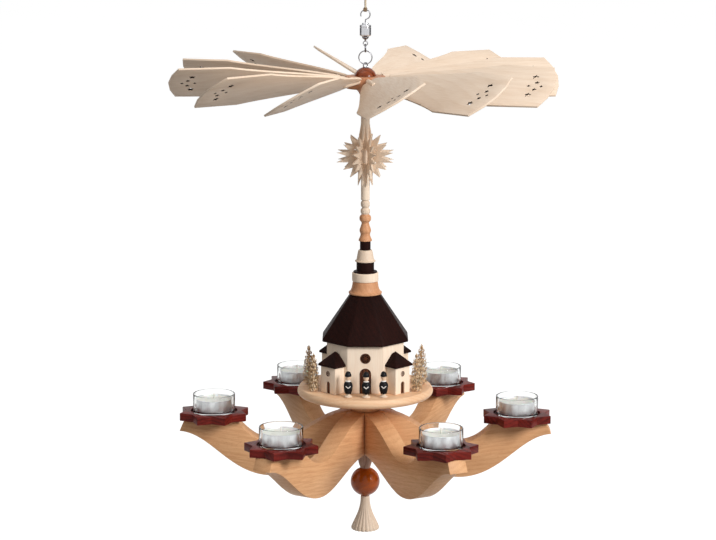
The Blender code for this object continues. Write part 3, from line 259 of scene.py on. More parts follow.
class Colours(bpy.types.PropertyGroup):
    """Colours of the woods, stains, metals and wax."""

    beech: colour("Beech", (233, 184, 137), "Lighter wood of the arms")
    beech_grain: colour("Beech grain", (190, 128, 82), "Darker wood of the arms")
    pale: colour("Pale wood", (241, 221, 200), "Lighter wood of the blades and turned parts")
    pale_grain: colour("Pale wood grain", (213, 182, 152), "Darker wood of the blades and turned parts")
    sycamore: colour("White wood", (255, 236, 214), "Lighter wood of the church walls and the star")
    sycamore_grain: colour("White wood grain", (238, 207, 178), "Darker wood of the church walls and the star")
    tan: colour("Steamed wood", (228, 172, 128), "Lighter wood of the warmer turned parts")
    tan_grain: colour("Steamed wood grain", (176, 112, 74), "Darker wood of the warmer turned parts")
    disc: colour("Disc", (246, 210, 172), "Lighter wood of the disc")
    # Painted shade: the fan hub is pale wood, and these two darker tones stand in for the shade that falls on it
    hub: colour("Hub", (208, 150, 112), "Lighter wood of the fan hub")
    hub_grain_painted_shade: colour("Hub grain", (164, 106, 74), "Darker wood of the fan hub")
    roof: colour("Roof stain", (46, 20, 16), "Stain of the roofs and drums")
    roof_grain: colour("Roof stain grain", (24, 12, 10), "Darkest stain of the roofs and drums")
    red: colour("Red stain", (132, 42, 34), "Stain of the star holders")
    red_grain: colour("Red stain grain", (58, 13, 11), "Darkest stain of the star holders")
    cap: colour("Cap stain", (150, 72, 32), "Glossy stain of the hub cap")
    cap_grain: colour("Cap stain grain", (72, 26, 12), "Darkest stain of the hub cap")
    amber: colour("Amber", (206, 96, 18), "Lit colour of the ball")
    amber_grain: colour("Dark amber", (92, 30, 8), "Dark colour of the ball")
    crown: colour("Crown", (206, 174, 154), "Carved wood of the crown")
    crown_grain: colour("Crown grain", (150, 114, 98), "Shaded wood of the crown")
    window: colour("Window brown", (118, 66, 36), "Round windows and doors")
    window_grain: colour("Window brown grain", (52, 24, 14), "Darkest brown of the windows and doors")
    coat: colour("Coat", (15, 14, 16), "Black paint of the coats and caps")
    face: colour("Face", (244, 214, 184), "Painted faces")
    white: colour("White paint", (240, 238, 234), "Collars and song books")
    shaving: colour("Shaving", (255, 240, 212), "Curled shavings of the trees")
    shaving_grain: colour("Shaving grain", (250, 208, 156), "Darker streaks of the shavings")
    # Partly painted reflection: the worn and dull steel tones are wear and also stand in for dark reflections on the
    # chrome
    steel: colour("Steel", (210, 210, 213), "Bright plated steel")
    steel_worn_and_dark_reflection: colour("Worn steel", (140, 140, 143), "Worn places of the plated steel")
    steel_wire: colour("Steel wire", (146, 146, 150), "Steel of the hook, the rings and the eyes")
    steel_wire_dull_and_dark_reflection: colour("Dark steel wire", (70, 70, 74), "Dull places of the steel wire")
    aluminium: colour("Aluminium", (236, 236, 238), "Pressed candle cups")
    aluminium_worn: colour("Dull aluminium", (184, 184, 188), "Dull streaks of the candle cups")
    wax: colour("Wax", (238, 236, 230), "Candle wax")
    wax_deep: colour("Deep wax", (220, 217, 208), "Cloudy places of the wax")
    wick: colour("Wick", (234, 232, 224), "Cotton wick")
    glass: colour("Glass", (252, 254, 253), "Clear glass")
    twine: colour("Twine", (226, 212, 188), "Twine")
    twine_dark: colour("Dark twine", (150, 130, 100), "Shaded fibres of the twine")


# ---------------------------------------------------------------- finishes


def node(tree, kind, inputs=None, **settings):
    """Adds a shader node, sets its properties, and fills its inputs with values or links."""
    made = tree.nodes.new(f"ShaderNode{kind}")
    for name, value in settings.items():
        setattr(made, name, value)
    for key, value in (inputs or {}).items():
        if isinstance(value, bpy.types.NodeSocket):
            tree.links.new(value, made.inputs[key])
        else:
            made.inputs[key].default_value = value
    return made


def sum_of(tree, kind, *values):
    """The result of a Math node."""
    return node(tree, "Math", dict(enumerate(values)), operation=kind).outputs[0]


def weighted(tree, *terms):
    """The sum of (value, weight) terms."""
    (first, weight), *others = terms
    total = sum_of(tree, "MULTIPLY", first, weight)
    for value, weight in others:
        total = sum_of(tree, "MULTIPLY_ADD", value, weight, total)
    return total


def vector_of(tree, kind, *values):
    """The vector that a VectorMath node makes."""
    return node(tree, "VectorMath", dict(enumerate(values)), operation=kind).outputs[0]


def eased_step(tree, value, low, high, to_low=0.0, to_high=1.0):
    """The value's place between low and high, as a smooth step."""
    places = dict(enumerate((value, low, high, to_low, to_high)))
    return node(tree, "MapRange", places, interpolation_type="SMOOTHSTEP").outputs[0]


def stretched_noise(tree, place, stretch, detail=2.0, roughness=0.55):
    """Noise along a place that is stretched by three numbers."""
    scaled = vector_of(tree, "MULTIPLY", place, stretch)
    return node(tree, "TexNoise", {"Vector": scaled, "Scale": 1.0, "Detail": detail, "Roughness": roughness}).outputs[0]


def effect(name, inputs, outputs):
    """A shader node group with named sockets: the group, its inputs and its outputs."""
    tree = bpy.data.node_groups.new(name, "ShaderNodeTree")
    for label, kind in inputs:
        tree.interface.new_socket(label, in_out="INPUT", socket_type=f"NodeSocket{kind}")
    for label in outputs:
        tree.interface.new_socket(label, in_out="OUTPUT", socket_type="NodeSocketFloat")
    return tree, tree.nodes.new("NodeGroupInput").outputs, tree.nodes.new("NodeGroupOutput").inputs


def timber_effect():
    """Growth rings, fibres, rays and broad cloudiness of wood whose grain runs along X."""
    tree, given, out = effect("timber", [("Grain", "Vector"), ("Ring gap", "Float")], ("Ring", "Fibre", "Ray", "Cloud"))
    grain = given["Grain"]
    sway = vector_of(tree, "MULTIPLY", grain, (5, 16, 16))
    sway = node(tree, "TexNoise", {"Vector": sway, "Scale": 1.0, "Detail": 2.0}).outputs[1]
    sway = vector_of(tree, "SUBTRACT", sway, (0.5, 0.5, 0.5))
    sway = vector_of(tree, "MULTIPLY", sway, (0, 0.03, 0.03))
    across = vector_of(tree, "MULTIPLY", grain, (0.09, 1, 1))
    across = vector_of(tree, "ADD", across, (0, -0.071, 0.052))
    across = vector_of(tree, "ADD", across, sway)
    apart = node(tree, "VectorMath", {0: across}, operation="LENGTH").outputs["Value"]
    ring = sum_of(tree, "FRACT", sum_of(tree, "DIVIDE", apart, given["Ring gap"]))
    late = eased_step(tree, ring, 0.25, 0.92)
    fade = eased_step(tree, ring, 0.94, 1.0, 1.0, 0.0)
    tree.links.new(sum_of(tree, "MULTIPLY", late, fade), out["Ring"])
    looks = (
        ("Fibre", (60, 1500, 1500), 3, 0.3, 0.72),
        ("Ray", (420, 2600, 2600), 1, 0.6, 0.7),
        ("Cloud", (9, 46, 46), 3, 0.32, 0.68),
    )
    for label, stretch, detail, least, most in looks:
        noise = stretched_noise(tree, grain, stretch, detail)
        tree.links.new(eased_step(tree, noise, least, most), out[label])
    return tree


def marks_effect():
    """Dust, rub marks and small blotches on metal, paint, wax and glass."""
    tree, given, out = effect("marks", [("Place", "Vector"), ("Stretch", "Vector")], ("Blotch", "Scratch", "Speck"))
    looks = (
        ("Blotch", (160, 160, 160), 3, 0.55, 0.35, 0.7),
        ("Scratch", given["Stretch"], 4, 0.65, 0.42, 0.66),
        ("Speck", (1900, 1900, 1900), 0, 0.55, 0.66, 0.76),
    )
    for label, stretch, detail, roughness, least, most in looks:
        noise = stretched_noise(tree, given["Place"], stretch, detail, roughness)
        tree.links.new(eased_step(tree, noise, least, most), out[label])
    return tree


def placed_effect(tree, name, make, inputs):
    """The outputs of an effect in a material. The effect is made at its first use."""
    return node(tree, "Group", inputs, node_tree=bpy.data.node_groups.get(name) or make()).outputs


def timber(tree, gap):
    """The wood effect along the piece's own grain, with rings a gap in millimetres apart."""
    grain = node(tree, "Attribute", attribute_name="grain").outputs["Vector"]
    return placed_effect(tree, "timber", timber_effect, {"Grain": grain, "Ring gap": gap * MM})


def marks(tree, stretch):
    """The marks effect, with scratches stretched by three numbers."""
    place = node(tree, "TexCoord").outputs["Object"]
    return placed_effect(tree, "marks", marks_effect, {"Place": place, "Stretch": stretch})


def new_finish(name, constants):
    """An empty material with its Principled shader, whose plain values are set on its own sockets."""
    made = bpy.data.materials.new(name)
    made.use_nodes = True
    shader = made.node_tree.nodes["Principled BSDF"]
    for socket, value in constants.items():
        shader.inputs[socket].default_value = value
    return made, made.node_tree, shader


def coloured(tree, shader, share, light, dark):
    """Gives a shader a colour between two others."""
    mix = node(tree, "Mix", {0: share, 6: (*light, 1.0), 7: (*dark, 1.0)}, data_type="RGBA")
    tree.links.new(mix.outputs[2], shader.inputs["Base Color"])


def roughened(tree, shader, value, least, most, low=0, high=1):
    """Gives a shader a roughness from least to most, as a value goes from low to high."""
    tree.links.new(eased_step(tree, value, low, high, least, most), shader.inputs["Roughness"])


def relief(tree, shader, height, strength, depth=0.0001):
    """Gives a shader a fine relief."""
    bump = node(tree, "Bump", {"Strength": strength, "Distance": depth, "Height": height})
    tree.links.new(bump.outputs[0], shader.inputs["Normal"])


def wood(name, light, dark, gap, ring, fibre, ray, cloud, rough, **constants):
    """Timber under oil, stain or lacquer: two tones, told apart by its rings, fibres and rays."""
    made, tree, shader = new_finish(name, {"Specular IOR Level": 0.16, **constants})
    parts = timber(tree, gap)
    tone = weighted(tree, (parts["Ring"], ring), (parts["Fibre"], fibre), (parts["Ray"], ray), (parts["Cloud"], cloud))
    coloured(tree, shader, node(tree, "Clamp", {0: tone}).outputs[0], light, dark)
    roughened(tree, shader, parts["Fibre"], rough - 0.06, rough + 0.08)
    relief(tree, shader, sum_of(tree, "ADD", parts["Fibre"], parts["Ray"]), 0.16, 0.0002)
    return made


def metal(name, bright, dark_tone, stretch, rough, grooves, dark_share):
    """Plated or pressed metal with darker marks along one way: rub marks, and on the steel also painted dark
    reflections.
    """
    made, tree, shader = new_finish(name, {"Metallic": 1.0})
    parts = marks(tree, stretch)
    coloured(tree, shader, weighted(tree, (parts["Scratch"], dark_share), (parts["Speck"], dark_share * 0.8)), bright, dark_tone)
    roughened(tree, shader, parts["Blotch"], rough, rough * 1.7)
    relief(tree, shader, parts["Scratch"], grooves)
    return made


def paint(name, tone, second, rough, blotch=0.35, **constants):
    """Paint, wax or cotton: one tone that clouds towards a second, with specks and brush marks."""
    made, tree, shader = new_finish(name, constants)
    parts = marks(tree, (700, 700, 160))
    share = weighted(tree, (parts["Blotch"], blotch), (parts["Scratch"], 0.2), (parts["Speck"], 0.25))
    coloured(tree, shader, share, tone, second)
    roughened(tree, shader, parts["Scratch"], rough - 0.05, rough + 0.12)
    relief(tree, shader, parts["Scratch"], 0.1)
    return made


def clear_glass(name, tone):
    """Clear pressed glass with faint waves."""
    constants = {"Transmission Weight": 1.0, "IOR": 1.46, "Base Color": (*tone, 1.0)}
    made, tree, shader = new_finish(name, constants)
    parts = marks(tree, (90, 90, 30))
    roughened(tree, shader, parts["Speck"], 0.0, 0.05)
    relief(tree, shader, parts["Scratch"], 0.02)
    return made


def cotton(name, light, dark):
    """Laid cotton twine, darker between its strands, along its own grain attribute."""
    made, tree, shader = new_finish(name, {"Sheen Weight": 0.3})
    grain = node(tree, "Attribute", attribute_name="grain").outputs["Vector"]
    fibre = stretched_noise(tree, grain, (700, 5200, 5200), 3)
    tuft = stretched_noise(tree, grain, (160, 900, 900))
    share = weighted(tree, (tuft, 0.2), (eased_step(tree, fibre, 0.35, 0.7), 0.6))
    coloured(tree, shader, share, light, dark)
    roughened(tree, shader, fibre, 0.8, 0.98, 0.3, 0.7)
    relief(tree, shader, fibre, 0.5, 0.0003)
    return made


LACQUER = {"Specular IOR Level": 0.08, "Coat Weight": 0.3, "Coat Roughness": 0.07}
VARNISH = {"Specular IOR Level": 0.05, "Coat Weight": 0.08, "Coat Roughness": 0.14}
SATIN = {"Coat Weight": 0.05, "Coat Roughness": 0.3}
MATT = {"Specular IOR Level": 0.05}
WAXY = {"Subsurface Weight": 0.25, "Subsurface Scale": 0.004}
# Near-black tones: real burn on the blades' laser cuts, and painted shade on the round windows' panes
BURNT_AND_SHADE_TONES = ((0.03, 0.014, 0.008), (0.008, 0.004, 0.003))
BLACK = (0.02, 0.02, 0.024)

# Each finish: its maker, its tones (fixed, or named in Colours), the maker's own values, and plain shader values.
# The values of a wood: ring gap in millimetres; shares of ring, fibre, ray and cloud; roughness.
FINISHES = {
    "beech": (wood, ("beech", "beech_grain"), (4.3, 0.15, 0.34, 0.35, 0.25, 0.5), SATIN),
    "pale_wood": (wood, ("pale", "pale_grain"), (3.8, 0.12, 0.28, 0.08, 0.22, 0.55), {}),
    "white_wood": (wood, ("sycamore", "sycamore_grain"), (3.6, 0.12, 0.28, 0.06, 0.25, 0.55), {}),
    "tan_wood": (wood, ("tan", "tan_grain"), (3.2, 0.15, 0.3, 0.25, 0.3, 0.5), SATIN),
    "disc_wood": (wood, ("disc", "tan"), (4.4, 0.25, 0.3, 0.25, 0.25, 0.5), SATIN),
    # The hub's darker tones are painted shade on pale wood
    "hub_wood_painted_shade": (wood, ("hub", "hub_grain_painted_shade"), (3.4, 0.25, 0.35, 0.25, 0.35, 0.5), SATIN),
    "roof_stain": (wood, ("roof", "roof_grain"), (3.0, 0.2, 0.5, 0.2, 0.45, 0.5), MATT),
    "red_stain": (wood, ("red", "red_grain"), (2.8, 0.3, 0.4, 0.25, 0.45, 0.36), VARNISH),
    "cap_stain": (wood, ("cap", "cap_grain"), (3.4, 0.35, 0.35, 0.15, 0.5, 0.3), LACQUER),
    "amber": (wood, ("amber", "amber_grain"), (6.0, 0.12, 0.15, 0.05, 0.6, 0.25), LACQUER),
    "crown_wood": (wood, ("crown", "crown_grain"), (2.6, 0.4, 0.4, 0.3, 0.4, 0.5), {}),
    "window_brown": (wood, ("window", "window_grain"), (2.0, 0.5, 0.5, 0.3, 0.4, 0.4), SATIN),
    "burnt_edge_and_painted_shade": (wood, BURNT_AND_SHADE_TONES, (1.5, 0.4, 0.5, 0.3, 0.4, 0.8), {}),
    "shaving": (wood, ("shaving", "shaving_grain"), (6.0, 0.2, 0.2, 0.1, 0.35, 0.6), {}),
    "coat_black": (paint, ("coat", BLACK), (0.35,), {"Specular IOR Level": 0.12}),
    "face_paint": (paint, ("face", "tan"), (0.45,), {}),
    "white_paint": (paint, ("white", "pale_grain"), (0.45, 0.2), {}),
    "wax": (paint, ("wax", "wax_deep"), (0.4, 0.7), WAXY),
    "wick": (paint, ("wick", "twine_dark"), (0.85,), {}),
    # The steels' darker patches are wear and also painted dark reflections
    "plated_steel": (metal, ("steel", "steel_worn_and_dark_reflection"), ((900, 900, 900), 0.12, 0.03, 0.3), {}),
    "steel_wire": (metal, ("steel_wire", "steel_wire_dull_and_dark_reflection"), ((900, 900, 900), 0.16, 0.03, 0.6), {}),
    "cup_aluminium": (metal, ("aluminium", "aluminium_worn"), ((420, 420, 30), 0.38, 0.02, 0.2), {}),
    "clear_glass": (clear_glass, ("glass",), (), {}),
    "twine_fibres": (cotton, ("twine", "twine_dark"), (), {}),
    # The hitch's darker, browner twine is painted shade
    "twine_knot_painted_shade": (cotton, ("twine_dark", "window"), (), {}),
}


def finish(kind):
    """The material of one finish, from the colours that the user may change."""
    name = f"{kind}_finish"
    if not bpy.data.materials.get(name):
        make, tones, values, constants = FINISHES[kind]
        chosen = bpy.context.scene.pyramid_colours
        tones = [getattr(chosen, tone) if isinstance(tone, str) else tone for tone in tones]
        make(name, *tones, *values, **constants)
    return bpy.data.materials[name]


# ---------------------------------------------------------------- forms

# How far apart in the timber two pieces lie whose seeds are 1 apart
PLANK_STEP = Vector((0.31, 0.017, 0.023))
# Most of a drawing's side that the rounding of one of its corners may take
ROUNDING_LIMIT = 0.49
# Points that are nearer than this become one
WELD = 1e-6


def grained(bm, along=(0, 0, 1), seed=0):
    """Keeps each point's place in its plank as an attribute, with the grain along X."""
    layers = bm.verts.layers.float_vector
    layer = layers.get("grain") or layers.new("grain")
    to_grain = Vector(along).rotation_difference(Vector((1, 0, 0))).to_matrix()
    start = PLANK_STEP * seed
    for vert in bm.verts:
        vert[layer] = to_grain @ vert.co + start
    return bm


def as_mesh(name, bm):
    """A mesh from a bmesh, which is freed."""
    mesh = bpy.data.meshes.new(name)
    bm.to_mesh(mesh)
    bm.free()
    return mesh


def placed(name, data):
    """An object in the scene, made from a mesh, a lamp or a camera."""
    made = bpy.data.objects.new(name, data)
    bpy.context.scene.collection.objects.link(made)
    return made


def piece(name, bm, finish_name, stands_for, slot="pale_wood", crease=38, move=None, body="pyramid", second=None):
    """Makes a bmesh a finished piece that rides on a body and stands for a CAD node."""
    if not bm.verts.layers.float_vector.get("grain"):
        grained(bm)
    if move:
        bmesh.ops.transform(bm, matrix=move, verts=bm.verts)
    limit = math.radians(crease)
    for face in bm.faces:
        face.smooth = True
    for edge in bm.edges:
        edge.smooth = edge.calc_face_angle(0) < limit
    made = placed(name, as_mesh(name, bm))
    for kind in (finish_name, second):
        if kind:
            made.data.materials.append(finish(kind))
    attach(made, body)
    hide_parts(stands_for)
    return made


def shift(x=0.0, y=0.0, z=0.0):
    """A move without a turn."""
    return Matrix.Translation((x, y, z))


def turn(radians, axis="Z"):
    """A turn about an axis through the origin."""
    return Matrix.Rotation(radians, 4, axis)


def eased(corners, steps=4):
    """A line through (x, y, rounding) corners, in millimetres, with those corners rounded."""
    line = []
    for index, (x, y, *ease) in enumerate(corners):
        corner = Vector((x, y))
        if not ease or index in (0, len(corners) - 1):
            line.append(corner)
            continue
        before = Vector(corners[index - 1][:2]) - corner
        after = Vector(corners[index + 1][:2]) - corner
        first = corner + before.normalized() * min(ease[0], before.length * ROUNDING_LIMIT)
        last = corner + after.normalized() * min(ease[0], after.length * ROUNDING_LIMIT)
        for step in range(steps + 1):
            share = step / steps
            line.append(first * (1 - share) ** 2 + corner * 2 * share * (1 - share) + last * share**2)
    return [point * MM for point in line]


def bend(start, pull, push, end, steps=12):
    """Points of a cubic curve in a plane."""
    points = interpolate_bezier(*(Vector((*point, 0)) for point in (start, pull, push, end)), steps)
    return [Vector(point[:2]) for point in points]


def arc(radius, start, end, steps, centre=(0.0, 0.0)):
    """Points of an arc between two angles in radians."""
    angles = [start + (end - start) * step / steps for step in range(steps + 1)]
    return [Vector((centre[0] + radius * math.cos(a), centre[1] + radius * math.sin(a))) for a in angles]


def circle(radius, steps, centre=(0.0, 0.0)):
    """Points of a whole circle."""
    return arc(radius, 0, FULL_TURN, steps, centre)[:-1]


def turned(line, steps=64):
    """A lathe-turned form about the vertical axis from (radius, height) points."""
    bm = bmesh.new()
    verts = [bm.verts.new((radius, 0, height)) for radius, height in line]
    edges = [bm.edges.new(pair) for pair in zip(verts, verts[1:])]
    bmesh.ops.spin(
        bm, geom=verts + edges, cent=(0, 0, 0), axis=(0, 0, 1), angle=FULL_TURN, steps=steps, use_merge=True
    )
    bmesh.ops.remove_doubles(bm, verts=bm.verts, dist=WELD)
    bmesh.ops.recalc_face_normals(bm, faces=bm.faces)
    return bm


def lathe(corners, steps=64, ease=4):
    """A turned form from (radius, height, rounding) corners in millimetres."""
    return turned(eased(corners, ease), steps)


def stacked(node_name, steps, top, parts):
    """Turns parts on top of each other, each drawn down from its own top, and gives the height under the last."""
    for name, finish_name, slot, tall, corners in parts:
        side = [(radius, top - drop, ease) for radius, drop, ease in corners]
        piece(name, lathe([(0, top), *side, (0, top - tall)], steps, 6), finish_name, node_name, slot)
        top -= tall
    return top


def board(outline, thickness, edge=0.0, holes=(), sharp=24):
    """A flat board in XY, its middle at height 0, with holes through it and rounded edges."""
    bm = bmesh.new()
    for loop in (outline, *holes):
        verts = [bm.verts.new((x, y, -thickness / 2)) for x, y in loop]
        for pair in zip(verts, verts[1:] + verts[:1]):
            bm.edges.new(pair)
    if holes:
        bmesh.ops.triangle_fill(bm, use_beauty=True, edges=bm.edges)
    else:
        bmesh.ops.contextual_create(bm, geom=bm.edges)
    made = bmesh.ops.extrude_face_region(bm, geom=bm.faces[:])["geom"]
    top = [part for part in made if isinstance(part, bmesh.types.BMVert)]
    bmesh.ops.translate(bm, verts=top, vec=(0, 0, thickness))
    bmesh.ops.recalc_face_normals(bm, faces=bm.faces)
    if edge:
        rounded(bm, edge, sharp)
    return bm


def rounded(bm, edge, sharp=24, segments=2):
    """Rounds every edge that is sharper than an angle in degrees."""
    limit = math.radians(sharp)
    edges = [part for part in bm.edges if part.calc_face_angle(0) > limit]
    bmesh.ops.bevel(
        bm, geom=edges, offset=edge, offset_type="OFFSET", segments=segments,
        profile=0.5, affect="EDGES", material=-1, clamp_overlap=True,
    )
    return bm


def block(sides, edge, height=0.0):
    """A box with rounded edges, its middle at a height."""
    bm = bmesh.new()
    bmesh.ops.create_cube(bm, size=1)
    bmesh.ops.scale(bm, verts=bm.verts, vec=sides)
    bmesh.ops.translate(bm, verts=bm.verts, vec=(0, 0, height))
    return rounded(bm, edge)


def wire(points, thickness, closed=False, sides=3):
    """A round wire along points."""
    line = bpy.data.curves.new("wire", "CURVE")
    line.dimensions = "3D"
    line.bevel_depth = thickness / 2
    line.bevel_resolution = sides
    line.use_fill_caps = not closed
    spline = line.splines.new("POLY")
    spline.points.add(len(points) - 1)
    for point, place in zip(spline.points, points):
        point.co = (*place, 1)
    spline.use_cyclic_u = closed
    holder = bpy.data.objects.new("wire", line)
    bm = bmesh.new()
    bm.from_mesh(holder.to_mesh())
    holder.to_mesh_clear()
    bpy.data.objects.remove(holder)
    bpy.data.curves.remove(line)
    return bm


def hoop(radius, thickness, steps, centre=(0.0, 0.0)):
    """A closed wire that lies flat round a centre."""
    return wire([(x, y, 0) for x, y in circle(radius, steps, centre)], thickness, closed=True, sides=1)


def joined(parts):
    """One bmesh from several."""
    bm = bmesh.new()
    bm.verts.layers.float_vector.new("grain")
    for part in parts:
        mesh = as_mesh("part", part)
        bm.from_mesh(mesh)
        bpy.data.meshes.remove(mesh)
    return bm


def moved(bm, matrix):
    """A copy of a bmesh in another place."""
    copy = bm.copy()
    bmesh.ops.transform(copy, matrix=matrix, verts=copy.verts)
    return copy


def carved(bm, cutters):
    """A bmesh with other closed forms cut out of it."""
    whole, cutter = (placed("carving", as_mesh("carving", part)) for part in (bm, joined(cutters)))
    cut = whole.modifiers.new("cut", "BOOLEAN")
    cut.operation = "DIFFERENCE"
    cut.object = cutter
    bpy.context.view_layer.update()
    made = bmesh.new()
    made.from_mesh(whole.evaluated_get(bpy.context.evaluated_depsgraph_get()).to_mesh())
    for holder in (whole, cutter):
        mesh = holder.data
        bpy.data.objects.remove(holder)
        bpy.data.meshes.remove(mesh)
    return made


def star(size_over, points, waist, centre=(0.0, 0.0), start=0.0):
    """A star's corners, its inner corners at waist times its radius."""
    corners = []
    for index in range(2 * points):
        reach = size_over / 2 * (waist if index % 2 else 1)
        a = start + math.pi * index / points
        corners.append(Vector((centre[0] + reach * math.cos(a), centre[1] + reach * math.sin(a))))
    return corners


def upright(points, height=0.0):
    """Points of a drawing in XZ as points in space."""
    return [(x, 0.0, height + z) for x, z in points]


def smooth_share(value, start, end):
    """A smooth step from 0 to 1 between start and end."""
    share = min(1, max(0, (value - start) / (end - start)))
    return share * share * (3 - 2 * share)


def low(name):
    """Height of a CAD node's foot."""
    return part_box(name)[0].z


def high(name):
    """Height of a CAD node's top."""
    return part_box(name)[1].z


def standing(name):
    """A CAD node's two corners, and a move to the middle of its foot."""
    least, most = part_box(name)
    return least, most, shift((least.x + most.x) / 2, (least.y + most.y) / 2, least.z)


def candle_place(sizes, index, height):
    """A move to a candle's place in the circle, at a height."""
    return turn(sizes.first + FULL_TURN * index / sizes.arms) @ shift(x=sizes.holder_circle) @ shift(z=height)


# ---------------------------------------------------------------- steps


class PYRAMID_OT_stage(bpy.types.Operator):
    """Sets the camera, the pale floor, the soft lamps and the dark cards"""

    bl_idname = "pyramid.stage"
    bl_label = "Camera and floor"

    WHITE = (1, 1, 1, 1)
    PAPER = ((0.34, 0.34, 0.34), (0.37, 0.37, 0.37))
    # Strength of the floor's own light for the rays that see it, and of the world for those that only light things
    PAPER_LIGHT, WORLD_LIGHT = 0.87, 0.36
    # Place and side of each lamp, and its share of the key lamp's power
    LAMPS = (("key_lamp", (1.95, -2.0, 1.15), 1.1, 1.0), ("top_lamp", (-0.5, -0.3, 2.1), 1.8, 0.14))
    CARD_OUT, CARD_BACK, CARD_SIDES = 1.6, 0.5, (2.4, 1.3)
    CARD_TONES = ((0.02, 0.02, 0.02), (0.03, 0.03, 0.03))

    def execute(self, context):
        sizes = context.scene.pyramid_stage
        lens = bpy.data.cameras.new("camera")
        lens.lens = sizes.lens
        lens.sensor_width = 36
        camera = placed("camera", lens)
        camera.location = sizes.camera_place
        camera.rotation_euler = (sizes.camera_tilt, 0, 0)
        context.scene.camera = camera
        context.scene.view_settings.view_transform = "Standard"

        world = bpy.data.worlds.new("studio")
        context.scene.world = world
        world.use_nodes = True
        background = world.node_tree.nodes["Background"].inputs
        strength = eased_step(world.node_tree, self.seen(world.node_tree), 0, 1, self.WORLD_LIGHT, 1.0)
        world.node_tree.links.new(strength, background["Strength"])
        background["Color"].default_value = self.WHITE

        paper, tree, shader = new_finish("studio_paper", {"Roughness": 0.9, "Specular IOR Level": 0.0})
        fleck = stretched_noise(tree, node(tree, "TexCoord").outputs["Object"], (2, 2, 2))
        coloured(tree, shader, fleck, *self.PAPER)
        shader.inputs["Emission Color"].default_value = self.WHITE
        glow = sum_of(tree, "MULTIPLY", self.seen(tree), self.PAPER_LIGHT)
        tree.links.new(glow, shader.inputs["Emission Strength"])
        under = shift(z=CAD_LOW.z - sizes.floor_gap)
        self.sheet("studio_floor", sizes.floor_side, under, paper)

        aim = Vector((0, 0, (CAD_LOW.z + CAD_HIGH.z) / 2))
        for name, place, side, share in self.LAMPS:
            self.lamp(name, Vector(place), side, sizes.key_power * share, aim)
        card_paint = paint("dark_card", *self.CARD_TONES, 0.9, **{"Specular IOR Level": 0.0})
        for side in (-1, 1):
            place = shift(side * self.CARD_OUT, self.CARD_BACK, 0) @ turn(side * math.pi / 9) @ turn(math.pi / 2, "Y")
            card = self.sheet("dark_card", 1.0, place @ Matrix.Diagonal((*self.CARD_SIDES, 1, 1)), card_paint)
            card.visible_camera = card.visible_diffuse = card.visible_shadow = False
        return {"FINISHED"}

    def seen(self, tree):
        """1 for the rays of the camera, of gloss and of glass, and 0 for those that only light things."""
        rays = node(tree, "LightPath").outputs
        seen = sum_of(tree, "MAXIMUM", rays["Is Camera Ray"], rays["Is Glossy Ray"])
        return sum_of(tree, "MAXIMUM", seen, rays["Is Transmission Ray"])

    def sheet(self, name, side, matrix, material):
        """A flat square of the stage, moved by a matrix."""
        bm = bmesh.new()
        bmesh.ops.create_grid(bm, x_segments=2, y_segments=2, size=side / 2)
        bmesh.ops.transform(bm, matrix=matrix, verts=bm.verts)
        made = placed(name, as_mesh(name, bm))
        made.data.materials.append(material)
        return made

    def lamp(self, name, place, side, power, aim):
        """A square soft lamp that faces the pyramid."""
        light = bpy.data.lights.new(name, "AREA")
        light.size = side
        light.energy = power
        lamp = placed(name, light)
        lamp.location = place
        lamp.rotation_euler = (place - aim).to_track_quat("Z", "Y").to_euler()


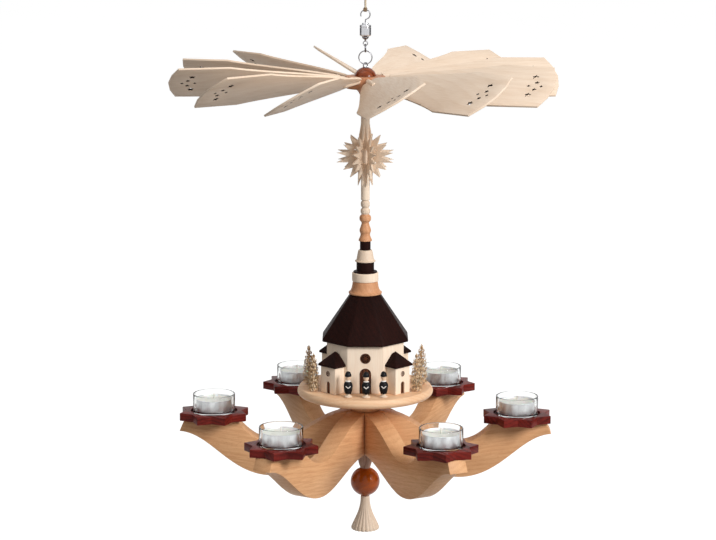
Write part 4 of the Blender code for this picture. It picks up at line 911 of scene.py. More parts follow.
class PYRAMID_OT_twine(bpy.types.Operator):
    """Lays the twine that the pyramid hangs on, with its knots"""

    bl_idname = "pyramid.twine"
    bl_label = "Twine"

    # Radius of a strand, and thickness of the knot and the hitch, as shares of the twine's thickness
    STRAND, KNOT, HITCH = 0.27, 0.8, 0.45
    LAY_STEPS, ROUTE_STEPS, KNOT_STEPS, COLLAR_STEPS = 72, 8, 60, 32
    KNOT_DROP, KNOT_REACH = 2.6 * MM, 2.2 * MM
    HITCH_STEPS, HITCH_TURNS, HITCH_LENGTH = 96, 3, 3.4 * MM
    COLLAR_RADIUS, COLLAR_HEIGHT, COLLAR_TILT = 1.1 * MM, 2.6 * MM, 0.35 * MM

    def execute(self, context):
        sizes = context.scene.pyramid_hanger
        strand = sizes.twine_diameter * self.STRAND
        out = sizes.twine_diameter / 2 - strand
        strands = []
        for index in range(sizes.strands):
            line = []
            for step in range(self.LAY_STEPS + 1):
                share = step / self.LAY_STEPS
                a = FULL_TURN * (index / sizes.strands + sizes.strand_turns * share)
                line.append((out * math.cos(a), out * math.sin(a), sizes.twine_foot + share * sizes.twine_length))
            strands.append(grained(wire(line, 2 * strand, sides=2), seed=index))
        top = Vector((0, 0, sizes.twine_foot + sizes.twine_length))
        knot = self.knot(top - Vector((0, 0, self.KNOT_DROP)), sizes.twine_diameter * self.KNOT)
        hitch = self.hitch(sizes)
        twine = piece("twine_laid", joined(strands), "twine_fibres", "twine", "twine", body="hanger")
        return {"FINISHED"}

    def knot(self, centre, thickness):
        """The small overhand knot at the twine's upper end."""
        reach = self.KNOT_REACH
        line = []
        for step in range(self.KNOT_STEPS):
            a = FULL_TURN * step / self.KNOT_STEPS
            x = math.sin(a) + 2 * math.sin(2 * a)
            y = math.cos(a) - 2 * math.cos(2 * a)
            line.append(centre + Vector((x * reach / 3, y * reach / 3, -math.sin(3 * a) * reach * 0.55)))
        bm = grained(wire(line, thickness, closed=True))
        return piece("twine_end_knot", bm, "twine_fibres", "twine", "twine", body="hanger")

    def hitch(self, sizes):
        """Turns of twine round the hook's bend, drawn tight under the standing part, in a darker twine that is painted
        shade.
        """
        thickness = sizes.twine_diameter * self.HITCH
        radius = sizes.hook_wire / 2 + thickness / 2
        middle = sizes.hook_wire / 2
        line = []
        for step in range(self.HITCH_STEPS + 1):
            share = step / self.HITCH_STEPS
            a = FULL_TURN * self.HITCH_TURNS * share + math.pi / 2
            x = (share - 0.55) * self.HITCH_LENGTH
            line.append((x, radius * math.cos(a), middle - 0.2 * MM + radius * 1.25 * math.sin(a)))
        turns = grained(wire(line, thickness))
        collar = []
        for step in range(self.COLLAR_STEPS):
            a = FULL_TURN * step / self.COLLAR_STEPS
            height = self.COLLAR_HEIGHT + self.COLLAR_TILT * math.sin(a)
            collar.append((self.COLLAR_RADIUS * math.cos(a), self.COLLAR_RADIUS * math.sin(a), height))
        bm = joined([turns, grained(wire(collar, thickness, closed=True), seed=2)])
        return piece("twine_hook_hitch", bm, "twine_knot_painted_shade", "twine", "twine", body="hanger")


class PYRAMID_OT_hook(bpy.types.Operator):
    """Bends the wire hook and turns the swivel's barrel"""

    bl_idname = "pyramid.hook"
    bl_label = "Hook and swivel barrel"

    def execute(self, context):
        sizes = context.scene.pyramid_hanger
        ring = sizes.hook_bend + sizes.hook_wire / 2
        foot = high("swivel_barrel") + SEAT
        line = arc(ring, sizes.hook_tip, sizes.hook_turn, 40, (0, -sizes.hook_bend))
        leave = line[-1]
        run = ring * 0.55
        line += bend(leave, (leave.x - run, leave.y - run * 0.35), (0, foot + run), (0, foot), 14)[1:]
        hook = wire(upright(line), sizes.hook_wire)
        piece("hook_wire", hook, "steel_wire", "wire_hook", "plated_steel", body="hanger")

        top, base = high("swivel_barrel") / MM, low("swivel_barrel") / MM
        cap, wide = sizes.barrel_cap / MM / 2, sizes.barrel / MM / 2
        shoulder = top - sizes.barrel_cap_height / MM
        corners = [
            (0, top), (cap, top, 0.7), (cap, shoulder, 0.2), (wide, shoulder - 0.5, 0.9),
            (wide, shoulder - 2.4, 0.1), (wide - 0.25, shoulder - 2.6, 0.1), (wide - 0.25, shoulder - 2.9, 0.1),
            (wide, shoulder - 3.1, 0.1), (wide, base + 1.0, 0.6), (wide - 1.2, base, 0.4),
            (1.6, base, 0.1), (1.6, base + 1.8), (0, base + 1.8),
        ]
        piece("swivel_shell", lathe(corners), "plated_steel", "swivel_barrel", "plated_steel", body="hanger")
        return {"FINISHED"}


class PYRAMID_OT_rings(bpy.types.Operator):
    """Makes the swivel's eye, the split ring, the large ring and the screw eye"""

    bl_idname = "pyramid.rings"
    bl_label = "Rings"

    SPLIT_STEPS, SPLIT_TURNS, SPLIT_START = 96, 2, 0.5

    def execute(self, context):
        sizes = context.scene.pyramid_hanger
        self.swivel_eye(sizes)
        self.split_ring(sizes)
        least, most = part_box("hanging_ring")
        line = upright(circle(sizes.ring_radius, 72), (least.z + most.z) / 2)
        ring = wire(line, sizes.ring_wire, closed=True, sides=4)
        piece("large_ring", ring, "steel_wire", "hanging_ring", "plated_steel", body="hanging_ring")
        self.screw_eye(sizes)
        return {"FINISHED"}

    def swivel_eye(self, sizes):
        """The swivel's turning shank with its collar and its eye."""
        under = low("swivel_barrel") / MM - 0.3
        collar, shank = sizes.collar / MM / 2, sizes.swivel_shank / MM / 2
        foot = under - sizes.collar_height / MM
        centre = low("swivel_eye") + sizes.eye_wire + sizes.eye_bore
        bore_top = (centre + sizes.eye_bore) / MM
        corners = [
            (0, under + 1.5), (shank, under + 1.5), (shank, under, 0.1), (collar, under, 0.4),
            (collar, under - 1.1, 0.5), (collar * 0.66, foot, 0.5), (shank * 0.8, foot - 0.3, 0.3),
            (shank * 0.62, bore_top + 0.4), (0, bore_top + 0.3),
        ]
        line = upright(circle(sizes.eye_bore + sizes.eye_wire / 2, 40), centre)
        bm = joined([lathe(corners, 40), wire(line, sizes.eye_wire, closed=True)])
        piece("swivel_eye_turning", bm, "steel_wire", "swivel_eye", "plated_steel", body="swivel_eye")

    def split_ring(self, sizes):
        """The small ring, a wire of two turns that lie side by side."""
        least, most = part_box("link_ring")
        middle = (least.z + most.z) / 2
        radius = sizes.link_radius - sizes.link_wire / 2
        line = []
        for step in range(self.SPLIT_STEPS + 1):
            share = step / self.SPLIT_STEPS
            a = FULL_TURN * self.SPLIT_TURNS * share + self.SPLIT_START
            x = (smooth_share(share, 0.42, 0.58) - 0.5) * sizes.link_wire
            line.append((x, radius * math.cos(a), middle + radius * math.sin(a)))
        ring = wire(line, sizes.link_wire)
        piece("split_ring", ring, "steel_wire", "link_ring", "plated_steel", body="link_ring")

    def screw_eye(self, sizes):
        """The eye in the cap, with the start of its thread."""
        radius = sizes.screw_bore + sizes.screw_wire / 2
        centre = high("screw_eye") - sizes.screw_bore - sizes.screw_wire
        gap = (sizes.screw_wire + SEAT) / radius
        line = arc(radius, -math.pi / 2 - gap, -math.pi / 2 - FULL_TURN, 40)
        line += [Vector((0, -radius - sizes.screw_shank * share)) for share in (0.35, 1)]
        loop = wire(upright(line, centre), sizes.screw_wire)
        piece("screw_eye_loop", loop, "steel_wire", "screw_eye", "plated_steel", move=turn(sizes.screw_turn))


class PYRAMID_OT_hub(bpy.types.Operator):
    """Turns the dark cap and the hollow fan hub"""

    bl_idname = "pyramid.hub"
    bl_label = "Cap and hub"

    CAP_POCKET = 3.5 * MM

    def execute(self, context):
        sizes = context.scene.pyramid_fan
        top, foot = high("hub_cap"), low("hub_cap")
        radius, tall = sizes.cap / 2, top - foot
        ball = (radius**2 + tall**2) / (2 * tall)
        centre = top - ball
        start, end = math.acos(self.CAP_POCKET / ball), math.asin((foot - centre) / ball)
        dome = arc(ball, start, end, 28, (0, centre))
        pocket = [(0, top - 2.5 * MM), (self.CAP_POCKET * 0.8, top - 2.2 * MM)]
        cap = grained(turned([*pocket, *dome, (radius - 0.2 * MM, foot), (0, foot)], 96), (1, 0, 0))
        piece("dark_cap", cap, "cap_stain", "hub_cap", "dark_stained_cap")

        top, foot = high("fan_hub") / MM, low("fan_hub") / MM
        rim, neck = sizes.hub / MM / 2, sizes.neck / MM / 2
        rim_foot = top - sizes.hub_rim / MM
        lip = rim - sizes.hub_lip / MM
        flare = sizes.hub_flare / MM
        pull, push = (neck * 1.7, rim_foot), (neck, rim_foot - flare * 0.4)
        hollow = bend((lip - 0.6, rim_foot), pull, push, (neck, rim_foot - flare), 16)
        line = eased([(0, top), (rim, top, 1.0), (rim, rim_foot, 1.2), (lip, rim_foot, 0.2), tuple(hollow[0])], 5)
        line += [point * MM for point in hollow[1:]]
        line += eased([(neck, rim_foot - flare), (neck, foot + 0.2, 0.3), (neck - 0.5, foot), (0, foot)])[1:]
        # The hub's darker finish is painted shade on pale wood
        piece("hub_turned", turned(line, 96), "hub_wood_painted_shade", "fan_hub")
        return {"FINISHED"}


class PYRAMID_OT_blades(bpy.types.Operator):
    """Cuts the twelve fan blades with their star cut-outs and round stems"""

    bl_idname = "pyramid.blades"
    bl_label = "Fan blades"

    # How far the cut-outs lie from a blade's tip and, for the stars, from its middle line
    STARS = (23.1 * MM, 14.8 * MM)
    SMALL_STARS = (19.2 * MM, 5.7 * MM)
    PINS = (13.5 * MM, 26.5 * MM)
    STAR_WAIST, STAR_TURN, PIN_WAIST = 0.54, 0.3, 0.55
    # The cuts nearer to the tip than this weren't burnt by the laser
    CLEAN_TIP = 9 * MM

    def execute(self, context):
        sizes = context.scene.pyramid_fan
        leaf, stem = self.leaf(sizes), self.stem(sizes)
        middle = high("fan_hub") - sizes.stems_down
        for index in range(sizes.blades):
            name = f"blade_{index + 1:02d}"
            place = shift(z=middle) @ turn(sizes.first + FULL_TURN * index / sizes.blades) @ turn(sizes.pitch, "X")
            blade = grained(leaf.copy(), (1, 0, 0), index * 1.7)
            dowel = grained(stem.copy(), (1, 0, 0), index * 2.3 + 1)
            look = {"crease": 30, "move": place, "body": name}
            piece(f"{name}_leaf", blade, "pale_wood", name, second="burnt_edge_and_painted_shade", **look)
            piece(f"{name}_stem", dowel, "pale_wood", name, **look)
        return {"FINISHED"}

    def leaf(self, sizes):
        """One blade along X, wider towards its tip, with a four-cornered end."""
        half = sizes.width / 2
        grow = sizes.wide_from - sizes.root
        flank = bend(
            (sizes.root, sizes.root_width / 2), (sizes.root + grow * 0.3, half * 0.56),
            (sizes.root + grow * 0.7, half * 0.65), (sizes.wide_from, half), 14,
        )
        corner = Vector((sizes.tip_corner, sizes.tip_width / 2))
        shoulder = Vector((sizes.tip - (sizes.tip - sizes.tip_corner) * 0.28, corner.y * 0.5))
        side = [*flank, corner, shoulder]
        outline = side + [Vector((sizes.tip, 0))] + [Vector((x, -y)) for x, y in reversed(side)]
        cuts = []
        for cut, (back, off) in ((sizes.star_cut, self.STARS), (sizes.small_star_cut, self.SMALL_STARS)):
            centres = [(sizes.tip - back, off), (sizes.tip - back, -off)]
            cuts += [star(cut, 5, self.STAR_WAIST, centre, self.STAR_TURN) for centre in centres]
        cuts += [star(sizes.pin_cut, 4, self.PIN_WAIST, (sizes.tip - back, 0)) for back in self.PINS]
        bm = board(outline, sizes.thickness, 0.2 * MM, cuts, 60)
        for face in bm.faces:
            middle = face.calc_center_median()
            inside = abs(middle.y) < sizes.width * 0.3 and sizes.wide_from < middle.x < sizes.tip - self.CLEAN_TIP
            face.material_index = int(inside and abs(face.normal.z) < 0.9)
        return bm

    def stem(self, sizes):
        """The round dowel that the blade is glued on."""
        start = sizes.hub / 2 - sizes.stem_plug
        wide = sizes.stem / 2 / MM
        run = (sizes.stem_end - start) / MM
        dowel = lathe([(0, 0), (wide, 0, 0.3), (wide, run, 1.6), (0, run)], 28)
        return moved(dowel, shift(x=start) @ turn(math.pi / 2, "Y"))


class PYRAMID_OT_star(bpy.types.Operator):
    """Turns the spindle and saws the crossed star plates"""

    bl_idname = "pyramid.star"
    bl_label = "Star spindle"

    # Angle from level, in degrees, and distance from the star's middle, in millimetres
    RAYS = ((9, 31.5), (28.5, 27.0), (52, 26.8))
    TOP_RAY, FOOT_RAY = (82, 33.0), (75, 31.0)
    VALLEYS = ((0, 18.0), (18.5, 17.8), (40, 17.4), (63.5, 17.2))
    # The window round the bead, how far the star's middle lies under its top, and where its holes are
    WINDOW = ((2.0, 8.2), (5.6, 7.7), (7.8, 6.2), (8.8, 3.6))
    ABOVE = 39.8
    HOLE_OUT, HOLE_UP = 11.5 * MM, 6.7 * MM

    def execute(self, context):
        sizes = context.scene.pyramid_spire
        top, foot = high("star_spindle") / MM, low("star_spindle") / MM
        middle = top - self.ABOVE
        thick, bead, half = sizes.spindle / MM / 2, sizes.bead / MM / 2, sizes.bead_height / MM / 2
        groove = thick * 0.76
        corners = [
            (0, top), (thick - 0.2, top, 0.3), (thick, top - 0.6, 0.4), (thick, middle + half + thick, 2),
            (groove, middle + half, 0.8), (bead, middle + half * 0.5, 3), (bead, middle - half * 0.5, 3),
            (groove, middle - half, 0.8), (thick, middle - half - thick, 2), (thick, foot + 0.6, 0.4),
            (thick - 0.3, foot, 0.2), (0, foot),
        ]
        piece("spindle_turned", lathe(corners, 48), "white_wood", "star_spindle")

        fins = []
        fin = self.fin(sizes)
        for index in range(sizes.fins):
            place = shift(z=middle * MM) @ turn(sizes.fin_first + FULL_TURN * index / sizes.fins) @ UPRIGHT
            fins.append(moved(grained(fin.copy(), (0, 1, 0), index), place))
        piece("star_plates", joined(fins), "white_wood", "star_spindle", crease=30)
        return {"FINISHED"}

    def fin(self, sizes):
        """Half of one star plate, from inside the spindle outwards."""
        upper, lower = (self.quarter(sizes, last) for last in (self.TOP_RAY, self.FOOT_RAY))
        outline = upper + [Vector((x, -z)) for x, z in reversed(lower[1:])]
        holes = [circle(sizes.star_hole / 2, 14, (self.HOLE_OUT, up)) for up in (self.HOLE_UP, -self.HOLE_UP)]
        return board(outline, sizes.fin_thickness, 0.2 * MM, holes, 50)

    def quarter(self, sizes, last):
        """The rays above or below the middle of a plate, its edge inside the spindle, and its window."""
        line = []
        for ray, valley in zip((*self.RAYS, last), self.VALLEYS):
            for degrees, reach in (valley, ray):
                a = math.radians(degrees)
                line.append(Vector((reach * math.cos(a), reach * math.sin(a))) * MM)
        inside = last[1] * MM
        line += [Vector((sizes.spindle * 0.44, inside * 0.66)), Vector((sizes.spindle * 0.22, inside * 0.62))]
        return line + [Vector(point) * MM for point in self.WINDOW]


class PYRAMID_OT_baluster(bpy.types.Operator):
    """Turns the beads, the vase, its foot and the stained drum"""

    bl_idname = "pyramid.baluster"
    bl_label = "Beads and vase"

    # Name, width, height and finish, from the top down
    BEADS = (
        ("bead_upper", 9.0, 7.6, "pale_wood"),
        ("bead_middle", 9.4, 7.1, "pale_wood"),
        ("bead_large", 11.6, 7.7, "tan_wood"),
    )
    # Name, finish, slot, height and side as (radius, drop, rounding)
    LOWER = (
        ("vase", "tan_wood", "pale_wood", 12.7, (
            (4.3, 0, 0.2), (3.7, 0.9, 0.4), (4.4, 3.4, 1.4), (6.35, 8.9, 2.6), (4.9, 12.1, 0.6), (5.0, 12.7, 0.1),
        )),
        ("vase_foot", "tan_wood", "pale_wood", 6.9, (
            (4.9, 0, 0.1), (5.0, 1.6, 1.4), (6.9, 5.7, 0.6), (6.95, 6.9, 0.3),
        )),
    )

    def execute(self, context):
        beads = [(name, kind, "pale_wood", tall, self.bead(wide, tall)) for name, wide, tall, kind in self.BEADS]
        top = stacked("baluster", 56, high("baluster") / MM, (*beads, *self.LOWER))
        half, foot = context.scene.pyramid_spire.upper_drum / MM / 2, low("baluster") / MM
        drum = lathe([(0, top), (half, top, 0.3), (half, foot, 0.2), (0, foot)], 56, 6)
        piece("drum_upper", drum, "roof_stain", "baluster", "roof_stain")
        return {"FINISHED"}

    def bead(self, wide, tall):
        """The side of a round bead with a narrow waist at both ends."""
        waist, belly = wide / 2 * 0.76, wide / 2 * 1.04
        return (
            (waist, 0, 0.1), (waist, tall * 0.06, 0.2), (belly, tall * 0.22, tall * 0.3),
            (belly, tall * 0.78, tall * 0.3), (waist, tall * 0.94, 0.2), (waist, tall, 0.1),
        )


class PYRAMID_OT_spire_base(bpy.types.Operator):
    """Turns the two bells, the stained drum and the pale ring"""

    bl_idname = "pyramid.spire_base"
    bl_label = "Bells and drum"

    def execute(self, context):
        sizes = context.scene.pyramid_spire
        mouth, drum, ring = sizes.upper_bell / MM / 2, sizes.lower_drum / MM / 2, sizes.ring / MM / 2
        ledge = ring * 0.9
        top = stacked("spire_base", 72, high("spire_base") / MM, (
            ("bell_upper", "pale_wood", "pale_wood", 12.1, (
                (6.9, 0, 0.5), (7.4, 1.0, 0.6), (8.4, 6.2, 4), (mouth - 1.6, 10.4, 1.2),
                (mouth, 11.0, 0.4), (mouth - 0.3, 12.1, 0.3),
            )),
            ("drum_lower", "roof_stain", "roof_stain", 11.3, (
                (drum, 0, 0.2), (drum, 9.6, 0.3), (ledge, 9.9, 0.5), (ledge, 11.3, 0.2),
            )),
            ("ring_pale", "white_wood", "pale_wood", 9.3, ((ring, 0, 0.8), (ring + 0.1, 4.5, 3), (ring, 9.3, 1.4))),
        ))
        mouth, foot = sizes.lower_bell / MM / 2, low("spire_base") / MM
        corners = [
            (0, top), (12.3, top, 0.4), (13.1, top - 1.0, 0.8), (13.9, top - 6.6, 4), (mouth - 1.7, foot + 2.6, 1.6),
            (mouth, foot + 1.7, 0.5), (mouth - 0.3, foot, 0.4), (0, foot),
        ]
        piece("bell_lower", lathe(corners, 72, 6), "tan_wood", "spire_base")
        return {"FINISHED"}


class PYRAMID_OT_church(bpy.types.Operator):
    """Builds the church: roof, walls, turrets, windows and doors"""

    bl_idname = "pyramid.church"
    bl_label = "Church"

    FRONTS, PETALS, PLANKS = 4, 6, 4
    # How far the edges are rounded
    ROOF_EDGE, WALL_EDGE, PLANK_EDGE = 1.0 * MM, 0.35 * MM, 0.12 * MM
    TURRET_EDGE, TURRET_ROOF_EDGE = 0.3 * MM, 0.35 * MM
    # How much smaller in radius the windows' panes and frames are than their openings
    PANE_PLAY, RIM_PLAY, PETAL_PLAY, TURRET_RIM_PLAY = 0.15 * MM, 0.6 * MM, 0.4 * MM, 0.2 * MM

    def execute(self, context):
        sizes = context.scene.pyramid_church
        foot, top = low("church_roof"), high("church_roof")
        corner = 1 / math.cos(math.pi / 8) / 2
        eave = sizes.eave * corner
        levels = ((eave, foot), (eave, foot + sizes.roof_edge), (sizes.roof_top * corner, top))
        roof = rounded(self.frustum(8, levels), self.ROOF_EDGE, 20, 3)
        piece("roof_large", grained(roof, (0, 0.25, 1)), "roof_stain", "church_roof", "roof_stain", 25)

        foot = low("church_walls")
        self.walls(sizes, foot, high("church_walls"))
        for index in range(self.FRONTS):
            front = self.front(index) @ shift(sizes.wall / 2 - sizes.recess, 0, foot)
            self.round_window(sizes, index, front)
            self.door_leaf(sizes, index, front)
            self.turret(sizes, index, foot)
        return {"FINISHED"}

    def front(self, index):
        """A turn to one of the main walls."""
        return turn(index * math.pi / 2)

    def detail(self, name, bm, slot, crease=38, move=None):
        """A brown window or door of the church, or the brown painted shade at the back of a turret doorway."""
        piece(name, bm, "window_brown", "church_walls", slot, crease, move)

    def walls(self, sizes, foot, top):
        """The eight-sided walls, with the recesses of the round windows and doors."""
        plan = []
        for index in range(self.FRONTS):
            for side in (-1, 1):
                corner = self.front(index) @ Vector((sizes.wall / 2, side * sizes.wall_face / 2, 0))
                plan.append((corner.x, corner.y))
        walls = moved(board(plan, top - foot, self.WALL_EDGE), shift(z=(foot + top) / 2))
        deep = 2 * sizes.recess
        door = self.arched(sizes.door, sizes.door_height, sizes.recess)
        rose = circle(sizes.rosette / 2, 40)
        cutters = []
        for index in range(self.FRONTS):
            front = self.front(index) @ shift(sizes.wall / 2, 0, foot)
            cutters.append(moved(board(rose, deep), front @ shift(z=sizes.rosette_height) @ OUTWARD))
            cutters.append(moved(board(door, deep), front @ OUTWARD))
        piece("walls_octagon", grained(carved(walls, cutters)), "white_wood", "church_walls", crease=25)

    def frustum(self, sides, levels):
        """A closed form through rings of (radius, height), from the lowest up."""
        bm = bmesh.new()
        start = turn(math.pi / sides)
        rings = []
        for index, (radius, height) in enumerate(levels):
            ends = index in (0, len(levels) - 1)
            place = start @ shift(z=height)
            made = bmesh.ops.create_circle(bm, cap_ends=ends, segments=sides, radius=radius, matrix=place)["verts"]
            rings.append(list({edge for vert in made for edge in vert.link_edges}))
        for lower, upper in zip(rings, rings[1:]):
            bmesh.ops.bridge_loops(bm, edges=lower + upper)
        bmesh.ops.recalc_face_normals(bm, faces=bm.faces)
        return bm

    def arched(self, width, height, below):
        """A doorway's outline with a round top, its foot a little below 0."""
        half = width / 2
        return [Vector((-half, -below)), Vector((half, -below)), *arc(half, 0, math.pi, 18, (0, height - half))]

    def round_window(self, sizes, index, front):
        """A near-black pane, painted shade for the dark inside behind the window, with a brown lattice of six petals,
        set in its recess.
        """
        place = front @ shift(x=0.5 * MM, z=sizes.rosette_height) @ OUTWARD
        pane = moved(board(circle(sizes.rosette / 2 - self.PANE_PLAY, 40), 0.7 * MM), place)
        # The pane's near-black finish is painted shade
        piece(f"round_window_{index + 1}", grained(pane), "burnt_edge_and_painted_shade", "church_walls", "roof_stain")
        rings = [hoop(sizes.rosette / 2 - self.RIM_PLAY, 0.8 * MM, 40), hoop(1.3 * MM, 0.6 * MM, 40)]
        reach = sizes.rosette / 4
        for petal in range(self.PETALS):
            a = FULL_TURN * petal / self.PETALS
            rings.append(hoop(reach - self.PETAL_PLAY, 0.4 * MM, 24, (reach * math.cos(a), reach * math.sin(a))))
        lattice = moved(joined(rings), front @ shift(x=0.95 * MM, z=sizes.rosette_height) @ OUTWARD)
        self.detail(f"window_lattice_{index + 1}", grained(lattice), "pale_wood")

    def door_leaf(self, sizes, index, front):
        """A brown door of upright planks."""
        plate = board(self.arched(sizes.door - 0.3 * MM, sizes.door_height - 0.15 * MM, 0), 0.5 * MM)
        parts = [moved(plate, front @ shift(x=0.3 * MM, z=0.05 * MM) @ OUTWARD)]
        half = sizes.door / 2
        step = (sizes.door - 0.6 * MM) / self.PLANKS
        for plank in range(self.PLANKS):
            middle = (plank + 0.5 - self.PLANKS / 2) * step
            arch = math.sqrt(half**2 - (abs(middle) + step / 2 - 0.2 * MM) ** 2)
            tall = sizes.door_height - half + arch
            bm = block((0.4 * MM, step - 0.25 * MM, tall - 0.4 * MM), self.PLANK_EDGE)
            parts.append(moved(bm, front @ shift(0.65 * MM, middle, tall / 2)))
        self.detail(f"door_{index + 1}", grained(joined(parts), seed=index), "roof_stain", 30)

    def turret(self, sizes, index, foot):
        """A square corner turret with its own roof, window and doorway."""
        place = turn(math.pi / 4 + index * math.pi / 2) @ shift(x=sizes.turret_out)
        sides = (sizes.turret, sizes.turret, sizes.turret_height)
        walls = block(sides, self.TURRET_EDGE, foot + sizes.turret_height / 2)
        side = shift(x=sizes.turret / 2, z=foot)
        deep = 2 * sizes.recess
        reach = sizes.turret_window / 2
        way = self.arched(sizes.turret_door, sizes.turret_door_height, sizes.recess)
        cutters = [
            moved(board(circle(reach, 28), deep), side @ shift(z=sizes.turret_window_height) @ OUTWARD),
            moved(board(way, deep * 1.6), side @ OUTWARD),
        ]
        walls = grained(carved(walls, cutters), seed=index + 3)
        piece(f"turret_{index + 1}", walls, "white_wood", "church_walls", crease=25, move=place)
        bars = [hoop(reach - self.TURRET_RIM_PLAY, 0.75 * MM, 28)]
        for a in (0.0, math.pi / 2):
            x, y = reach * math.cos(a), reach * math.sin(a)
            bars.append(wire([(-x, -y, 0), (x, y, 0)], 0.5 * MM, sides=1))
        lattice = moved(joined(bars), side @ shift(x=-0.35 * MM, z=sizes.turret_window_height) @ OUTWARD)
        self.detail(f"turret_window_{index + 1}", grained(lattice), "roof_stain", move=place)
        # The brown board at the back of each turret doorway is painted shade for the doorway's dark inside
        door = board(self.arched(sizes.turret_door - 0.2 * MM, sizes.turret_door_height - 0.1 * MM, 0), 0.3 * MM)
        door = moved(door, side @ shift(x=-deep * 0.8 + 0.2 * MM) @ OUTWARD)
        self.detail(f"turret_door_{index + 1}", grained(door), "roof_stain", move=place)

        wide, up = sizes.turret_eave / math.sqrt(2), foot + sizes.turret_height
        levels = ((wide, up - 0.6 * MM), (wide, up + 1.4 * MM), (wide * 0.03, up + sizes.turret_roof))
        roof = grained(rounded(self.frustum(4, levels), self.TURRET_ROOF_EDGE, 20), (0, 0.2, 1), index)
        piece(f"turret_roof_{index + 1}", roof, "roof_stain", "church_walls", "roof_stain", 25, place)


class PYRAMID_OT_disc(bpy.types.Operator):
    """Turns the round disc and the collar under it"""

    bl_idname = "pyramid.disc"
    bl_label = "Disc"

    def execute(self, context):
        sizes = context.scene.pyramid_church
        top, base = high("disc") / MM, low("disc") / MM
        foot = top - sizes.disc_height / MM
        half = sizes.disc / MM / 2
        corners = [
            (0, top), (half - 2.2, top, 1.2), (half, top - 3.6, 3.4),
            (half, foot + 2.8, 2.6), (half - 2.6, foot, 1), (0, foot),
        ]
        piece("disc_board", grained(lathe(corners, 128, 7), (1, 0, 0)), "disc_wood", "disc", crease=50)
        half = sizes.disc_collar / MM / 2
        corners = [
            (0, foot), (half - 0.6, foot), (half, foot - 0.8, 0.6),
            (half, base + 2, 1), (half - 1.6, base, 0.5), (0, base),
        ]
        piece("disc_collar", lathe(corners, 72), "beech", "disc")
        return {"FINISHED"}


class PYRAMID_OT_figures(bpy.types.Operator):
    """Turns and paints the three singing figures"""

    bl_idname = "pyramid.figures"
    bl_label = "Figures"

    # The turned parts of a figure that is drawn 27 mm tall: name, finish, slot and side
    DRAWN_HEIGHT = 27
    PARTS = (
        ("base", "pale_wood", "pale_wood", (
            (0, 0), (4.1, 0, 0.3), (4.1, 1.1, 0.4), (2.1, 1.9, 0.5), (1.9, 4.6, 0.3), (0, 4.6),
        )),
        ("coat", "coat_black", "black_lacquer", (
            (0, 4.2), (3.0, 3.7, 0.3), (4.1, 6.6, 2.4), (4.5, 10.4, 3.0), (4.1, 14.6, 2.2), (2.4, 16.7, 0.8), (0, 16.9),
        )),
        ("collar", "white_paint", "pale_wood", (
            (0, 16.2), (2.7, 16.2, 0.3), (2.9, 16.8, 0.4), (1.9, 17.5, 0.3), (0, 17.5),
        )),
        ("head", "face_paint", "pale_wood", (
            (0, 17.0), (1.5, 17.2, 0.5), (2.75, 19.2, 1.2), (2.75, 21.6, 1.4), (1.6, 23.6, 1.0), (0, 24.0),
        )),
        ("cap", "coat_black", "black_lacquer", (
            (0, 21.8), (3.2, 21.6, 0.2), (3.4, 22.1, 0.4), (3.1, 24.2, 1.4), (1.9, 26.4, 1.2), (0, 27.0),
        )),
    )
    SLEEVE = ((3.2, -0.4, 14.6), (3.9, -1.6, 12.0), (3.3, -2.9, 10.0), (1.9, -3.9, 9.8))
    SLEEVE_THICKNESS = 1.7 * MM
    HEM, HEM_DEPTH, HEM_WAVES = 4.6 * MM, 0.45 * MM, 6
    PAGE, PAGE_EDGE, PAGE_TURN = (3.2 * MM, 0.45 * MM, 0.95 * MM), 0.12 * MM, -0.78
    PAGE_PLACE, EYE_PLACE, EYE = (1.2 * MM, -4.55 * MM, 11.2 * MM), (0.95 * MM, -2.45 * MM, 20.4 * MM), 0.3 * MM

    def execute(self, context):
        for index in range(3):
            name = f"figure_{index + 1}"
            least, most, place = standing(name)
            tall = (most.z - least.z) / self.DRAWN_HEIGHT
            self.figure(name, place @ Matrix.Scale(tall / MM, 4))
        return {"FINISHED"}

    def figure(self, name, place):
        """One figure: base, coat, sleeves, song book, collar, head and cap."""
        for part, finish_name, slot, corners in self.PARTS:
            bm = lathe(corners, 32, 5)
            if part == "coat":
                self.wave_hem(bm)
            piece(f"{name}_{part}", bm, finish_name, name, slot, 50, place)
        sleeves, book, eyes = [], [], []
        for side in (-1, 1):
            sleeve = [Vector((side * x, y, z)) * MM for x, y, z in self.SLEEVE]
            sleeves.append(wire(sleeve, self.SLEEVE_THICKNESS))
            x, y, z = self.PAGE_PLACE
            page = block(self.PAGE, self.PAGE_EDGE)
            book.append(moved(page, shift(side * x, y, z) @ turn(side * self.PAGE_TURN, "Y")))
            x, y, z = self.EYE_PLACE
            eye = bmesh.new()
            bmesh.ops.create_icosphere(eye, subdivisions=2, radius=self.EYE)
            eyes.append(moved(eye, shift(side * x, y, z)))
        piece(f"{name}_sleeves", joined(sleeves), "coat_black", name, "black_lacquer", 60, place)
        piece(f"{name}_book", joined(book), "white_paint", name, "pale_wood", 30, place)
        piece(f"{name}_eyes", joined(eyes), "coat_black", name, "black_lacquer", 60, place)

    def wave_hem(self, bm):
        """Lets the foot of the coat rise and fall round the figure."""
        for vert in bm.verts:
            x, y, z = vert.co
            if 1 * MM < math.hypot(x, y) and z < self.HEM:
                vert.co.z += self.HEM_DEPTH * math.cos(self.HEM_WAVES * math.atan2(y, x))


